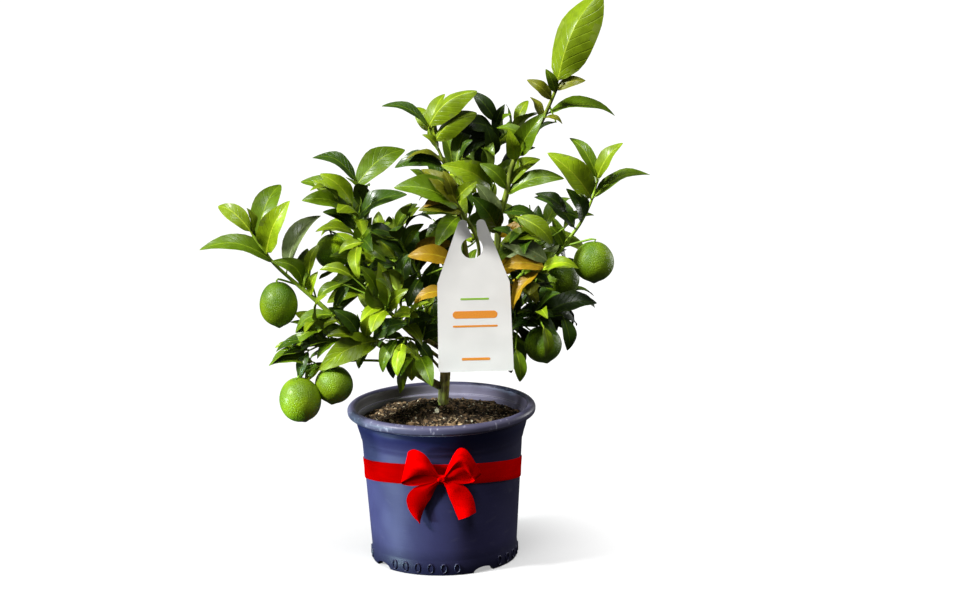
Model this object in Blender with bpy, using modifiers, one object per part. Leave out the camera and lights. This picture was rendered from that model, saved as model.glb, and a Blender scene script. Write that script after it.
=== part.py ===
"""A key lime tree in a nursery pot, with a ribbon and bow round the pot and a hang tag on a stem.

Metres, +Z up. The origin is the centre of the pot's flat underside, and the bow faces -Y.
The plant is a trunk, one bough for each mass of foliage, and the masses themselves. Each mass is
one solid of twigs, leaves and fruit that stays inside its own share of the crown.
"""

import math
import random

import bmesh
import bpy
from mathutils import Matrix, Vector
from mathutils.bvhtree import BVHTree

PLANT_NAME = "potted_key_lime_tree"
GAP = 0.0003
MERGE = 0.00001

# The pot: a tapered nursery pot with a rolled rim
POT_HEIGHT = 0.180
RIM_RADIUS = 0.108
RIM_HEIGHT = 0.011
RIM_WIDTH = 0.010
NECK_RADIUS = 0.0975
NECK_FOOT_Z = 0.140
WALL_TOP_RADIUS = 0.0916
WALL_FOOT_Z = 0.017
WALL_FOOT_RADIUS = 0.0835
POT_FOOT_RADIUS = 0.084
POT_WALL = 0.003
CHANNEL_INNER = 0.062
CHANNEL_OUTER = 0.077
CHANNEL_DEPTH = 0.008
TURN_STEPS = 36

# Drain arches under the pot's foot
ARCH_COUNT = 4
ARCH_FIRST = math.radians(32)
ARCH_HALF_WIDTH = 0.0135
ARCH_HEIGHT = 0.0065
ARCH_SIDES = 12

# The potting mix: a low mound with a flat top under the trunk
SOIL_CREST_Z = 0.180
SOIL_EDGE_Z = 0.1605
SOIL_FLAT_RADIUS = 0.014

# Ribbon and bow
BAND_WIDTH = 0.025
BAND_THICK = 0.0009
BAND_Z = 0.104
BAND_TILT = math.radians(-7.4)
KNOT_SIZE = (0.0095, 0.0080, 0.0090)
KNOT_CENTRE = (-0.002, -0.0957, 0.118)
LOOP_THICK = 0.009
LOOP_BACK_Y = -0.0918
LOOP_LEAN = math.radians(5.2)
TAIL_THICK = 0.0012
TAIL_BACK_Y = -0.0921
LEFT_LOOP = (
    (-0.0051, 0.0030), (-0.0107, 0.0178), (-0.0165, 0.0270), (-0.0250, 0.0330), (-0.0320, 0.0325),
    (-0.0370, 0.0270), (-0.0410, 0.0170), (-0.0450, 0.0040), (-0.0400, -0.0030), (-0.0300, -0.0050),
    (-0.0051, -0.0030),
)
RIGHT_LOOP = (
    (0.0051, -0.0030), (0.0290, -0.0045), (0.0415, -0.0020), (0.0440, 0.0040), (0.0395, 0.0170),
    (0.0320, 0.0262), (0.0235, 0.0350), (0.0145, 0.0305), (0.0100, 0.0200), (0.0051, 0.0030),
)
LEFT_TAIL = (
    (-0.0020, -0.0048), (-0.0300, -0.0085), (-0.0357, -0.0140), (-0.0385, -0.0220), (-0.0378, -0.0310),
    (-0.0325, -0.0425), (-0.0250, -0.0500), (-0.0200, -0.0345), (-0.0128, -0.0225), (-0.0086, -0.0130),
)
RIGHT_TAIL = (
    (0.0020, -0.0048), (0.0064, -0.0140), (0.0093, -0.0285), (0.0171, -0.0478), (0.0364, -0.0390),
    (0.0342, -0.0250), (0.0292, -0.0148), (0.0235, -0.0085),
)

# Hang tag
TAG_Y = -0.075
TAG_THICK = 0.0008
TAG_BOTTOM_Z = 0.235
TAG_SHOULDER_Z = 0.3365
TAG_TOP_Z = 0.4077
TAG_BOTTOM_X = (-0.0024, 0.0819)
TAG_SHOULDER_X = (-0.0014, 0.0791)
TAG_EAR_X = (0.0281, 0.0485)
TAG_EAR_RADIUS = 0.0052
TAG_HOLE = (0.0379, 0.3758)
TAG_HOLE_RADIUS = 0.012
TAG_SLIT = (math.radians(84), math.radians(57))

# Trunk: its line from the ground up, and its radius at each of those heights
TRUNK_LINE = (
    (0.0024, 0.000, 0.1803), (0.0024, 0.000, 0.184), (0.0028, 0.000, 0.191), (0.0044, 0.000, 0.205),
    (0.0062, 0.001, 0.222), (0.0125, 0.002, 0.250), (0.0200, 0.004, 0.277), (0.0260, 0.006, 0.298),
)
TRUNK_RADII = (0.0098, 0.0082, 0.0068, 0.0060, 0.0058, 0.0054, 0.0048, 0.0043)

LEAF_THICK = 0.011
LEAF_WIDTH = 0.44
SHOOT_LEAF_LENGTHS = (0.040, 0.056)
GOLDEN_ANGLE = math.radians(137.5)
LIMB_STEP = 0.024
CLEARANCE = 0.0008
ROOT_DEPTH = 0.0004
ROOT_SETBACK = 0.0012
STEM_SWELL = 1.25
STALK_RADII = (0.0013, 0.0011)
SHOOT_RADII = (0.0013, 0.0011, 0.0009)
SWINGS = (0, 14, -14, 28, -28)
SPACE_SLACK = 0.0014
CROWN_FLOOR_Z = 0.187
CROWN_MIDDLE = Vector((0.02, 0.01, 0.30))

# Each limb: what it grows from and how high, its line on from there, its radius at the root and
# at the end, and how far along it the bough stops and the mass of foliage takes over.
LIMBS = {
    "left": ("trunk", 0.197, 0.0033, 0.0010, 0.36, (
        (-0.030, -0.010, 0.221), (-0.068, -0.022, 0.256), (-0.102, -0.030, 0.277),
        (-0.141, -0.033, 0.314), (-0.183, -0.037, 0.355), (-0.208, -0.040, 0.392))),
    "left_low": ("left", 0.236, 0.0020, 0.0009, 0.22, (
        (-0.066, -0.036, 0.262), (-0.090, -0.047, 0.271), (-0.120, -0.055, 0.270),
        (-0.148, -0.062, 0.260))),
    "fruit_pair": ("left", 0.215, 0.0019, 0.0010, 0.52, (
        (-0.048, -0.026, 0.234), (-0.075, -0.036, 0.241), (-0.113, -0.052, 0.2445),
        (-0.140, -0.064, 0.242))),
    "upper_left": ("trunk", 0.236, 0.0030, 0.0011, 0.40, (
        (-0.030, -0.002, 0.266), (-0.062, -0.008, 0.296), (-0.080, -0.011, 0.325),
        (-0.090, -0.014, 0.372), (-0.095, -0.016, 0.416), (-0.089, -0.016, 0.442))),
    "mid_left": ("trunk", 0.226, 0.0024, 0.0010, 0.40, (
        (-0.014, -0.022, 0.250), (-0.039, -0.034, 0.276), (-0.056, -0.045, 0.298),
        (-0.070, -0.055, 0.318))),
    "inner_left": ("trunk", 0.264, 0.0024, 0.0010, 0.34, (
        (-0.006, 0.012, 0.296), (-0.026, 0.010, 0.338), (-0.043, 0.006, 0.370),
        (-0.050, 0.004, 0.398))),
    "low_front": ("trunk", 0.213, 0.0020, 0.0009, 0.40, (
        (-0.008, -0.022, 0.236), (-0.022, -0.036, 0.258), (-0.036, -0.046, 0.269),
        (-0.050, -0.054, 0.270))),
    "top": ("trunk", 0.286, 0.0030, 0.0012, 0.48, (
        (0.030, 0.022, 0.316), (0.032, 0.024, 0.350), (0.022, 0.022, 0.410),
        (0.008, 0.020, 0.459), (-0.004, 0.018, 0.487), (-0.007, 0.016, 0.497))),
    "leader": ("trunk", 0.298, 0.0036, 0.0013, 0.30, (
        (0.0294, 0.0071, 0.310), (0.048, 0.010, 0.326), (0.066, 0.010, 0.352), (0.070, 0.010, 0.390),
        (0.079, 0.009, 0.420), (0.088, 0.005, 0.458), (0.111, 0.000, 0.488),
        (0.124, -0.006, 0.513), (0.139, -0.015, 0.548))),
    "top_right": ("leader", 0.330, 0.0024, 0.0011, 0.42, (
        (0.058, 0.028, 0.360), (0.060, 0.036, 0.395), (0.064, 0.036, 0.440),
        (0.067, 0.034, 0.480), (0.070, 0.032, 0.500))),
    "front": ("trunk", 0.274, 0.0026, 0.0017, 0.80, (
        (0.034, -0.026, 0.318), (0.0444, -0.062, 0.3585), (0.0450, -0.0750, 0.3792),
        (0.0385, -0.0815, 0.400), (0.028, -0.086, 0.418), (0.018, -0.088, 0.436))),
    "right": ("trunk", 0.268, 0.0030, 0.0010, 0.40, (
        (0.045, 0.008, 0.286), (0.080, 0.004, 0.306), (0.110, -0.006, 0.331),
        (0.131, -0.015, 0.350), (0.149, -0.020, 0.374), (0.162, -0.020, 0.392),
        (0.174, -0.020, 0.416), (0.181, -0.020, 0.440))),
    "right_low": ("trunk", 0.250, 0.0024, 0.0010, 0.46, (
        (0.045, 0.012, 0.266), (0.080, 0.008, 0.284), (0.108, 0.000, 0.302),
        (0.140, -0.006, 0.318))),
    "low_right": ("trunk", 0.232, 0.0022, 0.0010, 0.46, (
        (0.040, -0.012, 0.250), (0.070, -0.022, 0.270), (0.096, -0.032, 0.284),
        (0.118, -0.040, 0.288))),
    "inner_right": ("right", 0.294, 0.0020, 0.0010, 0.30, (
        (0.080, -0.014, 0.318), (0.098, -0.030, 0.342), (0.108, -0.036, 0.366),
        (0.112, -0.038, 0.390))),
    "back_left": ("trunk", 0.246, 0.0026, 0.0010, 0.40, (
        (-0.018, 0.036, 0.272), (-0.048, 0.070, 0.298), (-0.070, 0.094, 0.322),
        (-0.082, 0.108, 0.346))),
    "back_right": ("trunk", 0.252, 0.0026, 0.0010, 0.40, (
        (0.048, 0.044, 0.286), (0.085, 0.076, 0.312), (0.112, 0.098, 0.336),
        (0.126, 0.110, 0.360))),
    "back_top": ("trunk", 0.270, 0.0026, 0.0010, 0.40, (
        (0.024, 0.034, 0.303), (0.028, 0.064, 0.346), (0.024, 0.086, 0.390),
        (0.018, 0.098, 0.428))),
    "back_low": ("trunk", 0.221, 0.0024, 0.0010, 0.36, (
        (0.016, 0.044, 0.240), (0.026, 0.084, 0.254), (0.034, 0.116, 0.262),
        (0.040, 0.140, 0.272))),
}

# Each mass: how strongly it claims the crown round its stem, its side shoots (how many, how long,
# how many leaves on each, and their seed), its placed leaves and its fruit. A placed leaf gives how
# far along the stem it sits, its bearing seen from the front in degrees (0 is +X, 90 is up), how
# far it leans to the front, how far it is turned from facing the front, and its length. A fruit
# gives how far along the stem its stalk starts, its centre, its width and its height.
MASSES = {
    "left": (0.035, None, (
        (0.76, 158, 10, 40, 0.086), (1.00, 139, -20, 20, 0.052), (1.00, 93, 5, 60, 0.030),
        (0.94, 70, -15, 20, 0.075), (0.84, 70, 20, 15, 0.070), (0.67, 63, -25, 35, 0.082),
        (0.55, 126, 25, 30, 0.050), (0.52, 88, -30, 20, 0.052), (0.47, 79, 20, 40, 0.033),
        (0.20, 120, 40, 20, 0.040), (0.27, 193, 10, 40, 0.047), (0.18, 200, 20, 40, 0.062),
        (0.27, 65, -20, 20, 0.040), (0.90, 120, -40, 30, 0.040),
    ), ((0.58, (-0.180, -0.040, 0.310), 0.043, 0.051),)),
    "left_low": (0.030, (2, 0.034, 4, 23), (
        (0.12, 199, 20, 10, 0.078), (0.25, 245, 30, 20, 0.038), (0.22, 32, 30, 20, 0.052),
        (0.70, 194, 10, 40, 0.046), (0.90, 182, -10, 50, 0.046), (0.60, 212, 25, 30, 0.036),
        (1.00, 196, 5, 45, 0.046), (1.00, 248, 20, 20, 0.033), (0.40, 120, 25, 30, 0.046),
        (0.80, 150, -25, 40, 0.046), (0.30, 78, 25, 10, 0.038),
    ), ()),
    "fruit_pair": (0.022, None, (
        (0.30, 118, 30, 30, 0.030),
    ), (
        (0.60, (-0.120, -0.060, 0.2205), 0.043, 0.043),
        (1.00, (-0.158, -0.070, 0.2065), 0.047, 0.051),
    )),
    "upper_left": (0.035, (2, 0.034, 5, 47), (
        (1.00, 142, -15, 50, 0.059), (0.95, 41, -10, 20, 0.073), (0.82, 128, 15, 30, 0.054),
        (0.78, 147, -10, 40, 0.068), (0.74, 157, 15, 40, 0.068), (0.63, 139, 25, 30, 0.046),
        (0.58, 166, 10, 45, 0.047), (0.68, 35, 20, 35, 0.074), (0.50, 68, 35, 0, 0.046),
        (0.14, 190, 20, 30, 0.058), (0.28, 20, 20, 30, 0.042), (0.12, 70, 30, 20, 0.044),
        (0.34, 150, 30, 30, 0.044), (0.22, 178, 30, 20, 0.050), (0.32, 204, 25, 20, 0.044),
    ), ((0.46, (-0.119, 0.002, 0.360), 0.040, 0.040),)),
    "mid_left": (0.020, (4, 0.036, 5, 53), (
        (0.40, 20, 30, 30, 0.045), (1.00, 110, 30, 30, 0.050), (0.70, 60, 40, 20, 0.046),
        (0.05, 30, 20, 10, 0.040), (0.04, 85, 15, 10, 0.044),
    ), ()),
    "inner_left": (0.020, (3, 0.034, 5, 67), (
        (0.85, 54, 10, 30, 0.040), (0.75, 170, -10, 40, 0.046), (0.60, 60, 20, 40, 0.040),
        (0.02, 75, 25, 10, 0.048), (0.16, 20, 30, 20, 0.044), (0.08, 288, 45, 20, 0.046),
        (0.10, 200, 35, 20, 0.046), (0.45, 29, 20, 20, 0.054), (0.20, 240, 35, 10, 0.044),
    ), ((0.38, (-0.028, 0.028, 0.358), 0.038, 0.038),)),
    "low_front": (0.015, (2, 0.030, 4, 71), (
        (0.68, 270, 15, 0, 0.048), (0.80, 247, 5, 30, 0.050), (0.96, 238, 20, 30, 0.042),
        (0.76, 262, -20, 40, 0.054), (0.60, 306, 10, 20, 0.036),
    ), ()),
    "top": (0.030, None, (
        (1.00, 151, -10, 55, 0.060), (1.00, 42, 10, 30, 0.070), (0.94, 70, -20, 30, 0.050),
        (0.84, 40, 15, 20, 0.060), (0.76, 130, 20, 30, 0.028), (0.62, 164, 10, 55, 0.044),
        (0.56, 171, 0, 40, 0.058), (0.45, 40, 10, 20, 0.036), (0.02, 207, 10, 20, 0.048),
        (0.08, 172, 15, 20, 0.044), (0.50, 330, 20, 20, 0.040), (0.05, 230, 25, 10, 0.058),
        (0.03, 250, 35, 10, 0.060), (0.30, 190, -20, 30, 0.046),
    ), ()),
    "leader": (0.040, (1, 0.028, 4, 97), (
        (0.99, 66, -5, 20, 0.116), (0.90, 135, 10, 10, 0.036), (0.95, 108, 25, 10, 0.032),
        (0.96, 22, 10, 20, 0.036), (0.80, 359, -10, 50, 0.082), (0.76, 111, -20, 30, 0.032),
        (0.50, 61, 25, 0, 0.064), (0.48, 100, 25, 0, 0.046), (0.32, 42, -15, 30, 0.050),
        (0.26, 22, 10, 35, 0.070), (0.04, 118, 30, 10, 0.062), (0.30, 130, 10, 20, 0.044),
        (0.16, 350, 10, 40, 0.048), (0.02, 10, 20, 20, 0.056), (0.62, 150, 10, 30, 0.040),
    ), ()),
    "top_right": (0.025, (2, 0.032, 5, 101), (
        (1.00, 126, 0, 0, 0.044), (0.96, 70, 20, 10, 0.028), (0.80, 159, 5, 20, 0.052),
        (0.85, 208, 15, 20, 0.044), (0.78, 234, 0, 20, 0.038), (0.20, 143, 20, 20, 0.074),
        (0.60, 100, 20, 10, 0.046), (0.70, 30, -20, 30, 0.044),
    ), ()),
    "front": (0.020, None, (
        (0.60, 154, 10, 25, 0.078), (0.76, 130, 5, 15, 0.056), (0.48, 169, 15, 20, 0.050),
        (1.00, 108, 5, 10, 0.034), (0.88, 46, 15, 10, 0.034), (0.92, 178, 30, 30, 0.036),
    ), ()),
    "right": (0.035, None, (
        (1.00, 119, -15, 20, 0.058), (1.00, 59, 10, 30, 0.052), (0.84, 25, -10, 40, 0.074),
        (0.84, 128, 20, 5, 0.078), (0.66, 107, 25, 30, 0.053), (0.58, 137, -15, 30, 0.061),
        (0.42, 118, 20, 20, 0.032), (0.33, 136, 5, 30, 0.066), (0.34, 92, 10, 30, 0.043),
        (0.90, 80, -40, 30, 0.044), (0.16, 60, 25, 20, 0.044),
    ), ((0.42, (0.175, -0.030, 0.348), 0.046, 0.046),)),
    "right_low": (0.020, (2, 0.032, 5, 131), (
        (0.62, 302, 30, 30, 0.048), (0.10, 60, 35, 20, 0.046), (0.30, 30, 30, 30, 0.050),
        (0.50, 350, -30, 30, 0.060), (0.40, 300, -20, 30, 0.050),
    ), ((0.80, (0.140, 0.004, 0.322), 0.041, 0.041),)),
    "low_right": (0.020, (2, 0.030, 5, 149), (
        (0.35, 283, -10, 20, 0.062), (0.70, 340, 30, 30, 0.046), (0.95, 15, 0, 30, 0.066),
        (1.00, 312, -50, 30, 0.060), (0.02, 120, 10, 20, 0.046), (0.20, 60, 20, 30, 0.044),
        (0.98, 345, -30, 30, 0.054), (0.45, 82, -10, 10, 0.044),
    ), ((0.92, (0.116, -0.042, 0.2570), 0.042, 0.042),)),
    "inner_right": (0.020, (3, 0.030, 5, 151), (
        (0.70, 178, 15, 30, 0.040), (0.20, 230, 25, 30, 0.058), (0.40, 182, 20, 20, 0.056),
        (0.30, 350, 30, 30, 0.036), (0.12, 200, 30, 20, 0.046),
    ), ()),
    "back_left": (0.030, (4, 0.044, 5, 163), (
        (1.00, 130, -30, 30, 0.056), (0.70, 160, -20, 30, 0.056), (0.40, 110, -40, 30, 0.050),
    ), ((0.55, (-0.066, 0.118, 0.290), 0.043, 0.043),)),
    "back_right": (0.030, (4, 0.044, 5, 173), (
        (1.00, 50, -30, 30, 0.056), (0.70, 20, -20, 30, 0.056), (0.40, 80, -40, 30, 0.050),
    ), ((0.50, (0.128, 0.108, 0.308), 0.042, 0.042),)),
    "back_top": (0.030, (4, 0.042, 5, 181), (
        (1.00, 100, -30, 30, 0.056), (0.80, 30, -20, 30, 0.052), (0.60, 150, -30, 30, 0.052),
    ), ()),
    "back_low": (0.030, (4, 0.040, 5, 193), (
        (1.00, 60, -40, 30, 0.052), (0.30, 250, -20, 30, 0.046), (0.90, 160, -40, 30, 0.050),
    ), ((0.70, (0.020, 0.120, 0.234), 0.040, 0.042),)),
}


class Route:
    """A smooth line through a few points, read by the distance along it."""

    PER_SPAN = 10

    def __init__(self, corners):
        corners = [Vector(corner) for corner in corners]
        padded = [2 * corners[0] - corners[1]] + corners + [2 * corners[-1] - corners[-2]]
        self.points = [corners[0]]
        for before, start, end, after in zip(padded, padded[1:], padded[2:], padded[3:]):
            for step in range(1, self.PER_SPAN + 1):
                self.points.append(spline_point(before, start, end, after, step / self.PER_SPAN))
        self.along = [0.0]
        for first, second in zip(self.points, self.points[1:]):
            self.along.append(self.along[-1] + (second - first).length)
        self.length = self.along[-1]

    def at(self, distance):
        """The point this far along; past either end it goes straight on."""
        index = 1
        while index < len(self.along) - 1 and self.along[index] < distance:
            index += 1
        span = self.along[index] - self.along[index - 1]
        share = (distance - self.along[index - 1]) / span
        return self.points[index - 1].lerp(self.points[index], share)

    def heading(self, distance):
        """The unit direction of travel this far along."""
        reach = 0.002
        return (self.at(distance + reach) - self.at(distance - reach)).normalized()

    def distance_at_height(self, height):
        """How far along the line first reaches this height."""
        for index, point in enumerate(self.points):
            if point.z >= height:
                return self.along[index]
        return self.length

    def stretch(self, start, end, step):
        """Points from one distance to another, with a short straight run at both ends."""
        run = 0.002
        count = max(1, round((end - start) / step))
        inner = [self.at(start + (end - start) * i / count) for i in range(1, count)]
        first = self.at(start)
        last = self.at(end)
        straight_in = first + self.heading(start) * run
        straight_out = last - self.heading(end) * run
        return [first, straight_in] + inner + [straight_out, last]


def spline_point(before, start, end, after, share):
    """One point of a Catmull-Rom curve between start and end."""
    square = share * share
    cube = square * share
    return 0.5 * (
        2 * start
        + (end - before) * share
        + (2 * before - 5 * start + 4 * end - after) * square
        + (3 * start - before - 3 * end + after) * cube
    )


def new_collection(name):
    collection = bpy.data.collections.new(name)
    bpy.context.scene.collection.children.link(collection)
    return collection


def material(name, colour, roughness, metallic=0.0):
    finish = bpy.data.materials.new(name)
    finish.use_nodes = True
    shader = finish.node_tree.nodes["Principled BSDF"]
    shader.inputs["Base Color"].default_value = (*colour, 1.0)
    shader.inputs["Roughness"].default_value = roughness
    shader.inputs["Metallic"].default_value = metallic
    return finish


def add_object(name, data, collection, finish=None):
    thing = bpy.data.objects.new(name, data)
    collection.objects.link(thing)
    if finish is not None:
        data.materials.append(finish)
    return thing


def turned(name, profile, collection, finish, closed=False):
    """A solid turned round the Z axis from (radius, height) points, outer side top to bottom."""
    mesh = bpy.data.meshes.new(name)
    points = [(radius, 0.0, height) for radius, height in profile]
    edges = [(i, i + 1) for i in range(len(points) - 1)]
    if closed:
        edges.append((len(points) - 1, 0))
    mesh.from_pydata(points, edges, [])
    thing = add_object(name, mesh, collection, finish)
    screw = thing.modifiers.new("turn", "SCREW")
    screw.axis = "Z"
    screw.steps = TURN_STEPS
    screw.render_steps = TURN_STEPS
    screw.use_merge_vertices = True
    screw.merge_threshold = MERGE
    screw.use_smooth_shade = True
    return thing


def cutter(name, data, collection):
    thing = add_object(name, data, collection)
    thing.hide_render = True
    thing.display_type = "WIRE"
    return thing


def boolean(thing, other, operation):
    change = thing.modifiers.new(operation.lower(), "BOOLEAN")
    change.operation = operation
    change.object = other
    change.solver = "EXACT"
    return change


def wall_radius(height):
    """The pot's outer radius on the straight part of its wall."""
    slope = (WALL_TOP_RADIUS - WALL_FOOT_RADIUS) / (NECK_FOOT_Z - WALL_FOOT_Z)
    return WALL_FOOT_RADIUS + slope * (height - WALL_FOOT_Z)


def pot_inside():
    """The inside of the pot from the middle of its floor up to the underside of the rim."""
    floor_low = POT_WALL
    floor_high = CHANNEL_DEPTH + POT_WALL
    return [
        (0.0, floor_low),
        (CHANNEL_INNER - POT_WALL, floor_low),
        (CHANNEL_INNER - POT_WALL, floor_high),
        (wall_radius(floor_high) - POT_WALL, floor_high),
        (WALL_TOP_RADIUS - POT_WALL, NECK_FOOT_Z),
        (NECK_RADIUS - POT_WALL, 0.159),
    ]


def pot_profile():
    rim_inner = RIM_RADIUS - RIM_WIDTH
    rim_low = POT_HEIGHT - RIM_HEIGHT
    return pot_inside() + [
        (rim_inner, rim_low),
        (rim_inner, POT_HEIGHT - 0.0035),
        (rim_inner + 0.0025, POT_HEIGHT),
        (RIM_RADIUS - 0.0030, POT_HEIGHT),
        (RIM_RADIUS, POT_HEIGHT - 0.0035),
        (RIM_RADIUS - 0.0010, rim_low),
        (NECK_RADIUS + 0.0010, rim_low - 0.0010),
        (NECK_RADIUS, 0.159),
        (WALL_TOP_RADIUS + 0.0022, 0.1470),
        (WALL_TOP_RADIUS + 0.0022, 0.1445),
        (WALL_TOP_RADIUS, NECK_FOOT_Z),
        (WALL_FOOT_RADIUS, WALL_FOOT_Z),
        (POT_FOOT_RADIUS, 0.008),
        (POT_FOOT_RADIUS - 0.0010, 0.0),
        (CHANNEL_OUTER, 0.0),
        (CHANNEL_OUTER, CHANNEL_DEPTH),
        (CHANNEL_INNER, CHANNEL_DEPTH),
        (CHANNEL_INNER, 0.0),
        (0.0, 0.0),
    ]


def arch_cutter(name, angle, cutters):
    """An oval bar that points at the pot's axis, half of it above the ground."""
    mesh = bpy.data.meshes.new(name)
    shape = bmesh.new()
    bmesh.ops.create_cone(
        shape, cap_ends=True, segments=ARCH_SIDES, radius1=1.0, radius2=1.0, depth=1.0,
    )
    size = Matrix.Diagonal((ARCH_HALF_WIDTH, ARCH_HEIGHT, 0.014, 1.0))
    lay = Matrix.Rotation(math.radians(90), 4, "X")
    bmesh.ops.transform(shape, matrix=lay @ size, verts=shape.verts)
    shape.to_mesh(mesh)
    shape.free()
    bar = cutter(name, mesh, cutters)
    radius = (CHANNEL_OUTER + POT_FOOT_RADIUS) / 2
    bar.rotation_euler = (0.0, 0.0, angle)
    bar.location = (radius * math.sin(angle), -radius * math.cos(angle), 0.0)
    return bar


def make_pot(parts, cutters):
    finish = material("navy_plastic", (0.035, 0.035, 0.10), 0.38)
    pot = turned("pot", pot_profile(), parts, finish)
    for number in range(ARCH_COUNT):
        angle = ARCH_FIRST + number * 2 * math.pi / ARCH_COUNT
        boolean(pot, arch_cutter(f"cut_arch_{number + 1}", angle, cutters), "DIFFERENCE")


def make_soil(parts):
    finish = material("potting_mix", (0.045, 0.028, 0.018), 0.95)
    inside = [(max(radius - GAP, 0.0), height + GAP) for radius, height in pot_inside()]
    edge_radius = inside[-1][0] + 0.0010
    mound = [
        (0.0, SOIL_CREST_Z),
        (SOIL_FLAT_RADIUS, SOIL_CREST_Z),
        (0.046, 0.1735),
        (0.078, 0.1645),
        (edge_radius - 0.0015, SOIL_EDGE_Z),
    ]
    turned("soil", mound + inside[-2::-1], parts, finish)


def make_band(parts, cutters):
    """The ribbon round the pot: a thin skin off the wall, cut to a band by a tilted slab."""
    finish = material("red_satin", (0.62, 0.0, 0.005), 0.45)
    low = BAND_Z - 0.030
    high = BAND_Z + 0.030
    inner = GAP
    outer = GAP + BAND_THICK
    profile = [
        (wall_radius(high) + outer, high),
        (wall_radius(low) + outer, low),
        (wall_radius(low) + inner, low),
        (wall_radius(high) + inner, high),
    ]
    band = turned("ribbon_band", profile, parts, finish, closed=True)
    mesh = bpy.data.meshes.new("cut_band")
    shape = bmesh.new()
    bmesh.ops.create_cube(shape, size=1.0)
    bmesh.ops.transform(shape, matrix=Matrix.Diagonal((0.25, 0.25, BAND_WIDTH, 1.0)), verts=shape.verts)
    shape.to_mesh(mesh)
    shape.free()
    slab = cutter("cut_band", mesh, cutters)
    slab.location = (0.0, 0.0, BAND_Z)
    slab.rotation_euler = (BAND_TILT, 0.0, 0.0)
    boolean(band, slab, "INTERSECT")
    return finish


def flat_outline(name, outline, thick, collection, finish):
    """A flat piece cut to a closed outline in X and Z, facing the front."""
    curve = bpy.data.curves.new(name, "CURVE")
    curve.dimensions = "2D"
    curve.fill_mode = "BOTH"
    curve.extrude = thick / 2
    spline = curve.splines.new("POLY")
    spline.points.add(len(outline) - 1)
    for point, (x, z) in zip(spline.points, outline):
        point.co = (x, z, 0.0, 1.0)
    spline.use_cyclic_u = True
    thing = add_object(name, curve, collection, finish)
    thing.rotation_euler = (math.radians(90), 0.0, 0.0)
    return thing


def make_bow(parts, finish):
    knot_mesh = bpy.data.meshes.new("bow_knot")
    shape = bmesh.new()
    bmesh.ops.create_cube(shape, size=1.0)
    swell = 1.16
    size = Matrix.Diagonal((KNOT_SIZE[0] * swell, KNOT_SIZE[1] * swell, KNOT_SIZE[2] * swell, 1.0))
    bmesh.ops.transform(shape, matrix=size, verts=shape.verts)
    bmesh.ops.bevel(shape, geom=shape.edges[:], offset=0.0022, segments=2, affect="EDGES", profile=0.5)
    bmesh.ops.transform(shape, matrix=Matrix.Scale(1 / swell, 4), verts=shape.verts)
    shape.to_mesh(knot_mesh)
    shape.free()
    knot = add_object("bow_knot", knot_mesh, parts, finish)
    knot.location = KNOT_CENTRE
    for name, outline in (("bow_loop_left", LEFT_LOOP), ("bow_loop_right", RIGHT_LOOP)):
        loop = flat_outline(name, outline, LOOP_THICK, parts, finish)
        loop.location = (KNOT_CENTRE[0], LOOP_BACK_Y - LOOP_THICK / 2, KNOT_CENTRE[2])
        loop.rotation_euler.x += LOOP_LEAN
    wall_lean = math.atan2(WALL_TOP_RADIUS - WALL_FOOT_RADIUS, NECK_FOOT_Z - WALL_FOOT_Z)
    for name, outline in (("bow_tail_left", LEFT_TAIL), ("bow_tail_right", RIGHT_TAIL)):
        tail = flat_outline(name, outline, TAIL_THICK, parts, finish)
        tail.location = (KNOT_CENTRE[0], TAIL_BACK_Y - TAIL_THICK / 2, KNOT_CENTRE[2])
        tail.rotation_euler.x += wall_lean


def arc(centre, radius, start, end, count):
    """Points round part of a circle, angles measured from +X towards +Z."""
    angles = [start + (end - start) * i / count for i in range(count + 1)]
    return [(centre[0] + radius * math.cos(a), centre[1] + radius * math.sin(a)) for a in angles]


def tag_outline():
    """Down the left edge, along the bottom, up the right edge, over both ears and round the hole."""
    ear_z = TAG_TOP_Z - TAG_EAR_RADIUS
    left_ear = (TAG_EAR_X[0], ear_z)
    right_ear = (TAG_EAR_X[1], ear_z)
    turn = math.pi
    right = arc(right_ear, TAG_EAR_RADIUS, math.radians(25), math.radians(190), 6)
    hole = arc(TAG_HOLE, TAG_HOLE_RADIUS, TAG_SLIT[1], TAG_SLIT[0] - 2 * turn, 22)
    left = arc(left_ear, TAG_EAR_RADIUS, math.radians(-20), math.radians(155), 6)
    return [
        (TAG_SHOULDER_X[0], TAG_SHOULDER_Z),
        (TAG_BOTTOM_X[0], TAG_BOTTOM_Z + 0.002),
        (TAG_BOTTOM_X[0] + 0.002, TAG_BOTTOM_Z),
        (TAG_BOTTOM_X[1] - 0.002, TAG_BOTTOM_Z),
        (TAG_BOTTOM_X[1], TAG_BOTTOM_Z + 0.002),
        (TAG_SHOULDER_X[1], TAG_SHOULDER_Z),
    ] + right + hole + left


def make_tag(parts):
    finish = material("white_card", (0.80, 0.80, 0.80), 0.55)
    tag = flat_outline("tag", tag_outline(), TAG_THICK, parts, finish)
    tag.location = (0.0, TAG_Y, 0.0)
    return tag


def tube_curve(name, points, radii, section=None, sides_step=1):
    """A tapering tube with closed ends; a section curve gives it other sides."""
    curve = bpy.data.curves.new(name, "CURVE")
    curve.dimensions = "3D"
    curve.use_fill_caps = True
    if section is None:
        curve.bevel_depth = 1.0
        curve.bevel_resolution = sides_step
    else:
        curve.bevel_mode = "OBJECT"
        curve.bevel_object = section
    spline = curve.splines.new("POLY")
    spline.points.add(len(points) - 1)
    for knot, point, radius in zip(spline.points, points, radii):
        knot.co = (*point, 1.0)
        knot.radius = radius
    return curve


def taper(count, start, end):
    return [start + (end - start) * i / (count - 1) for i in range(count)]


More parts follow.
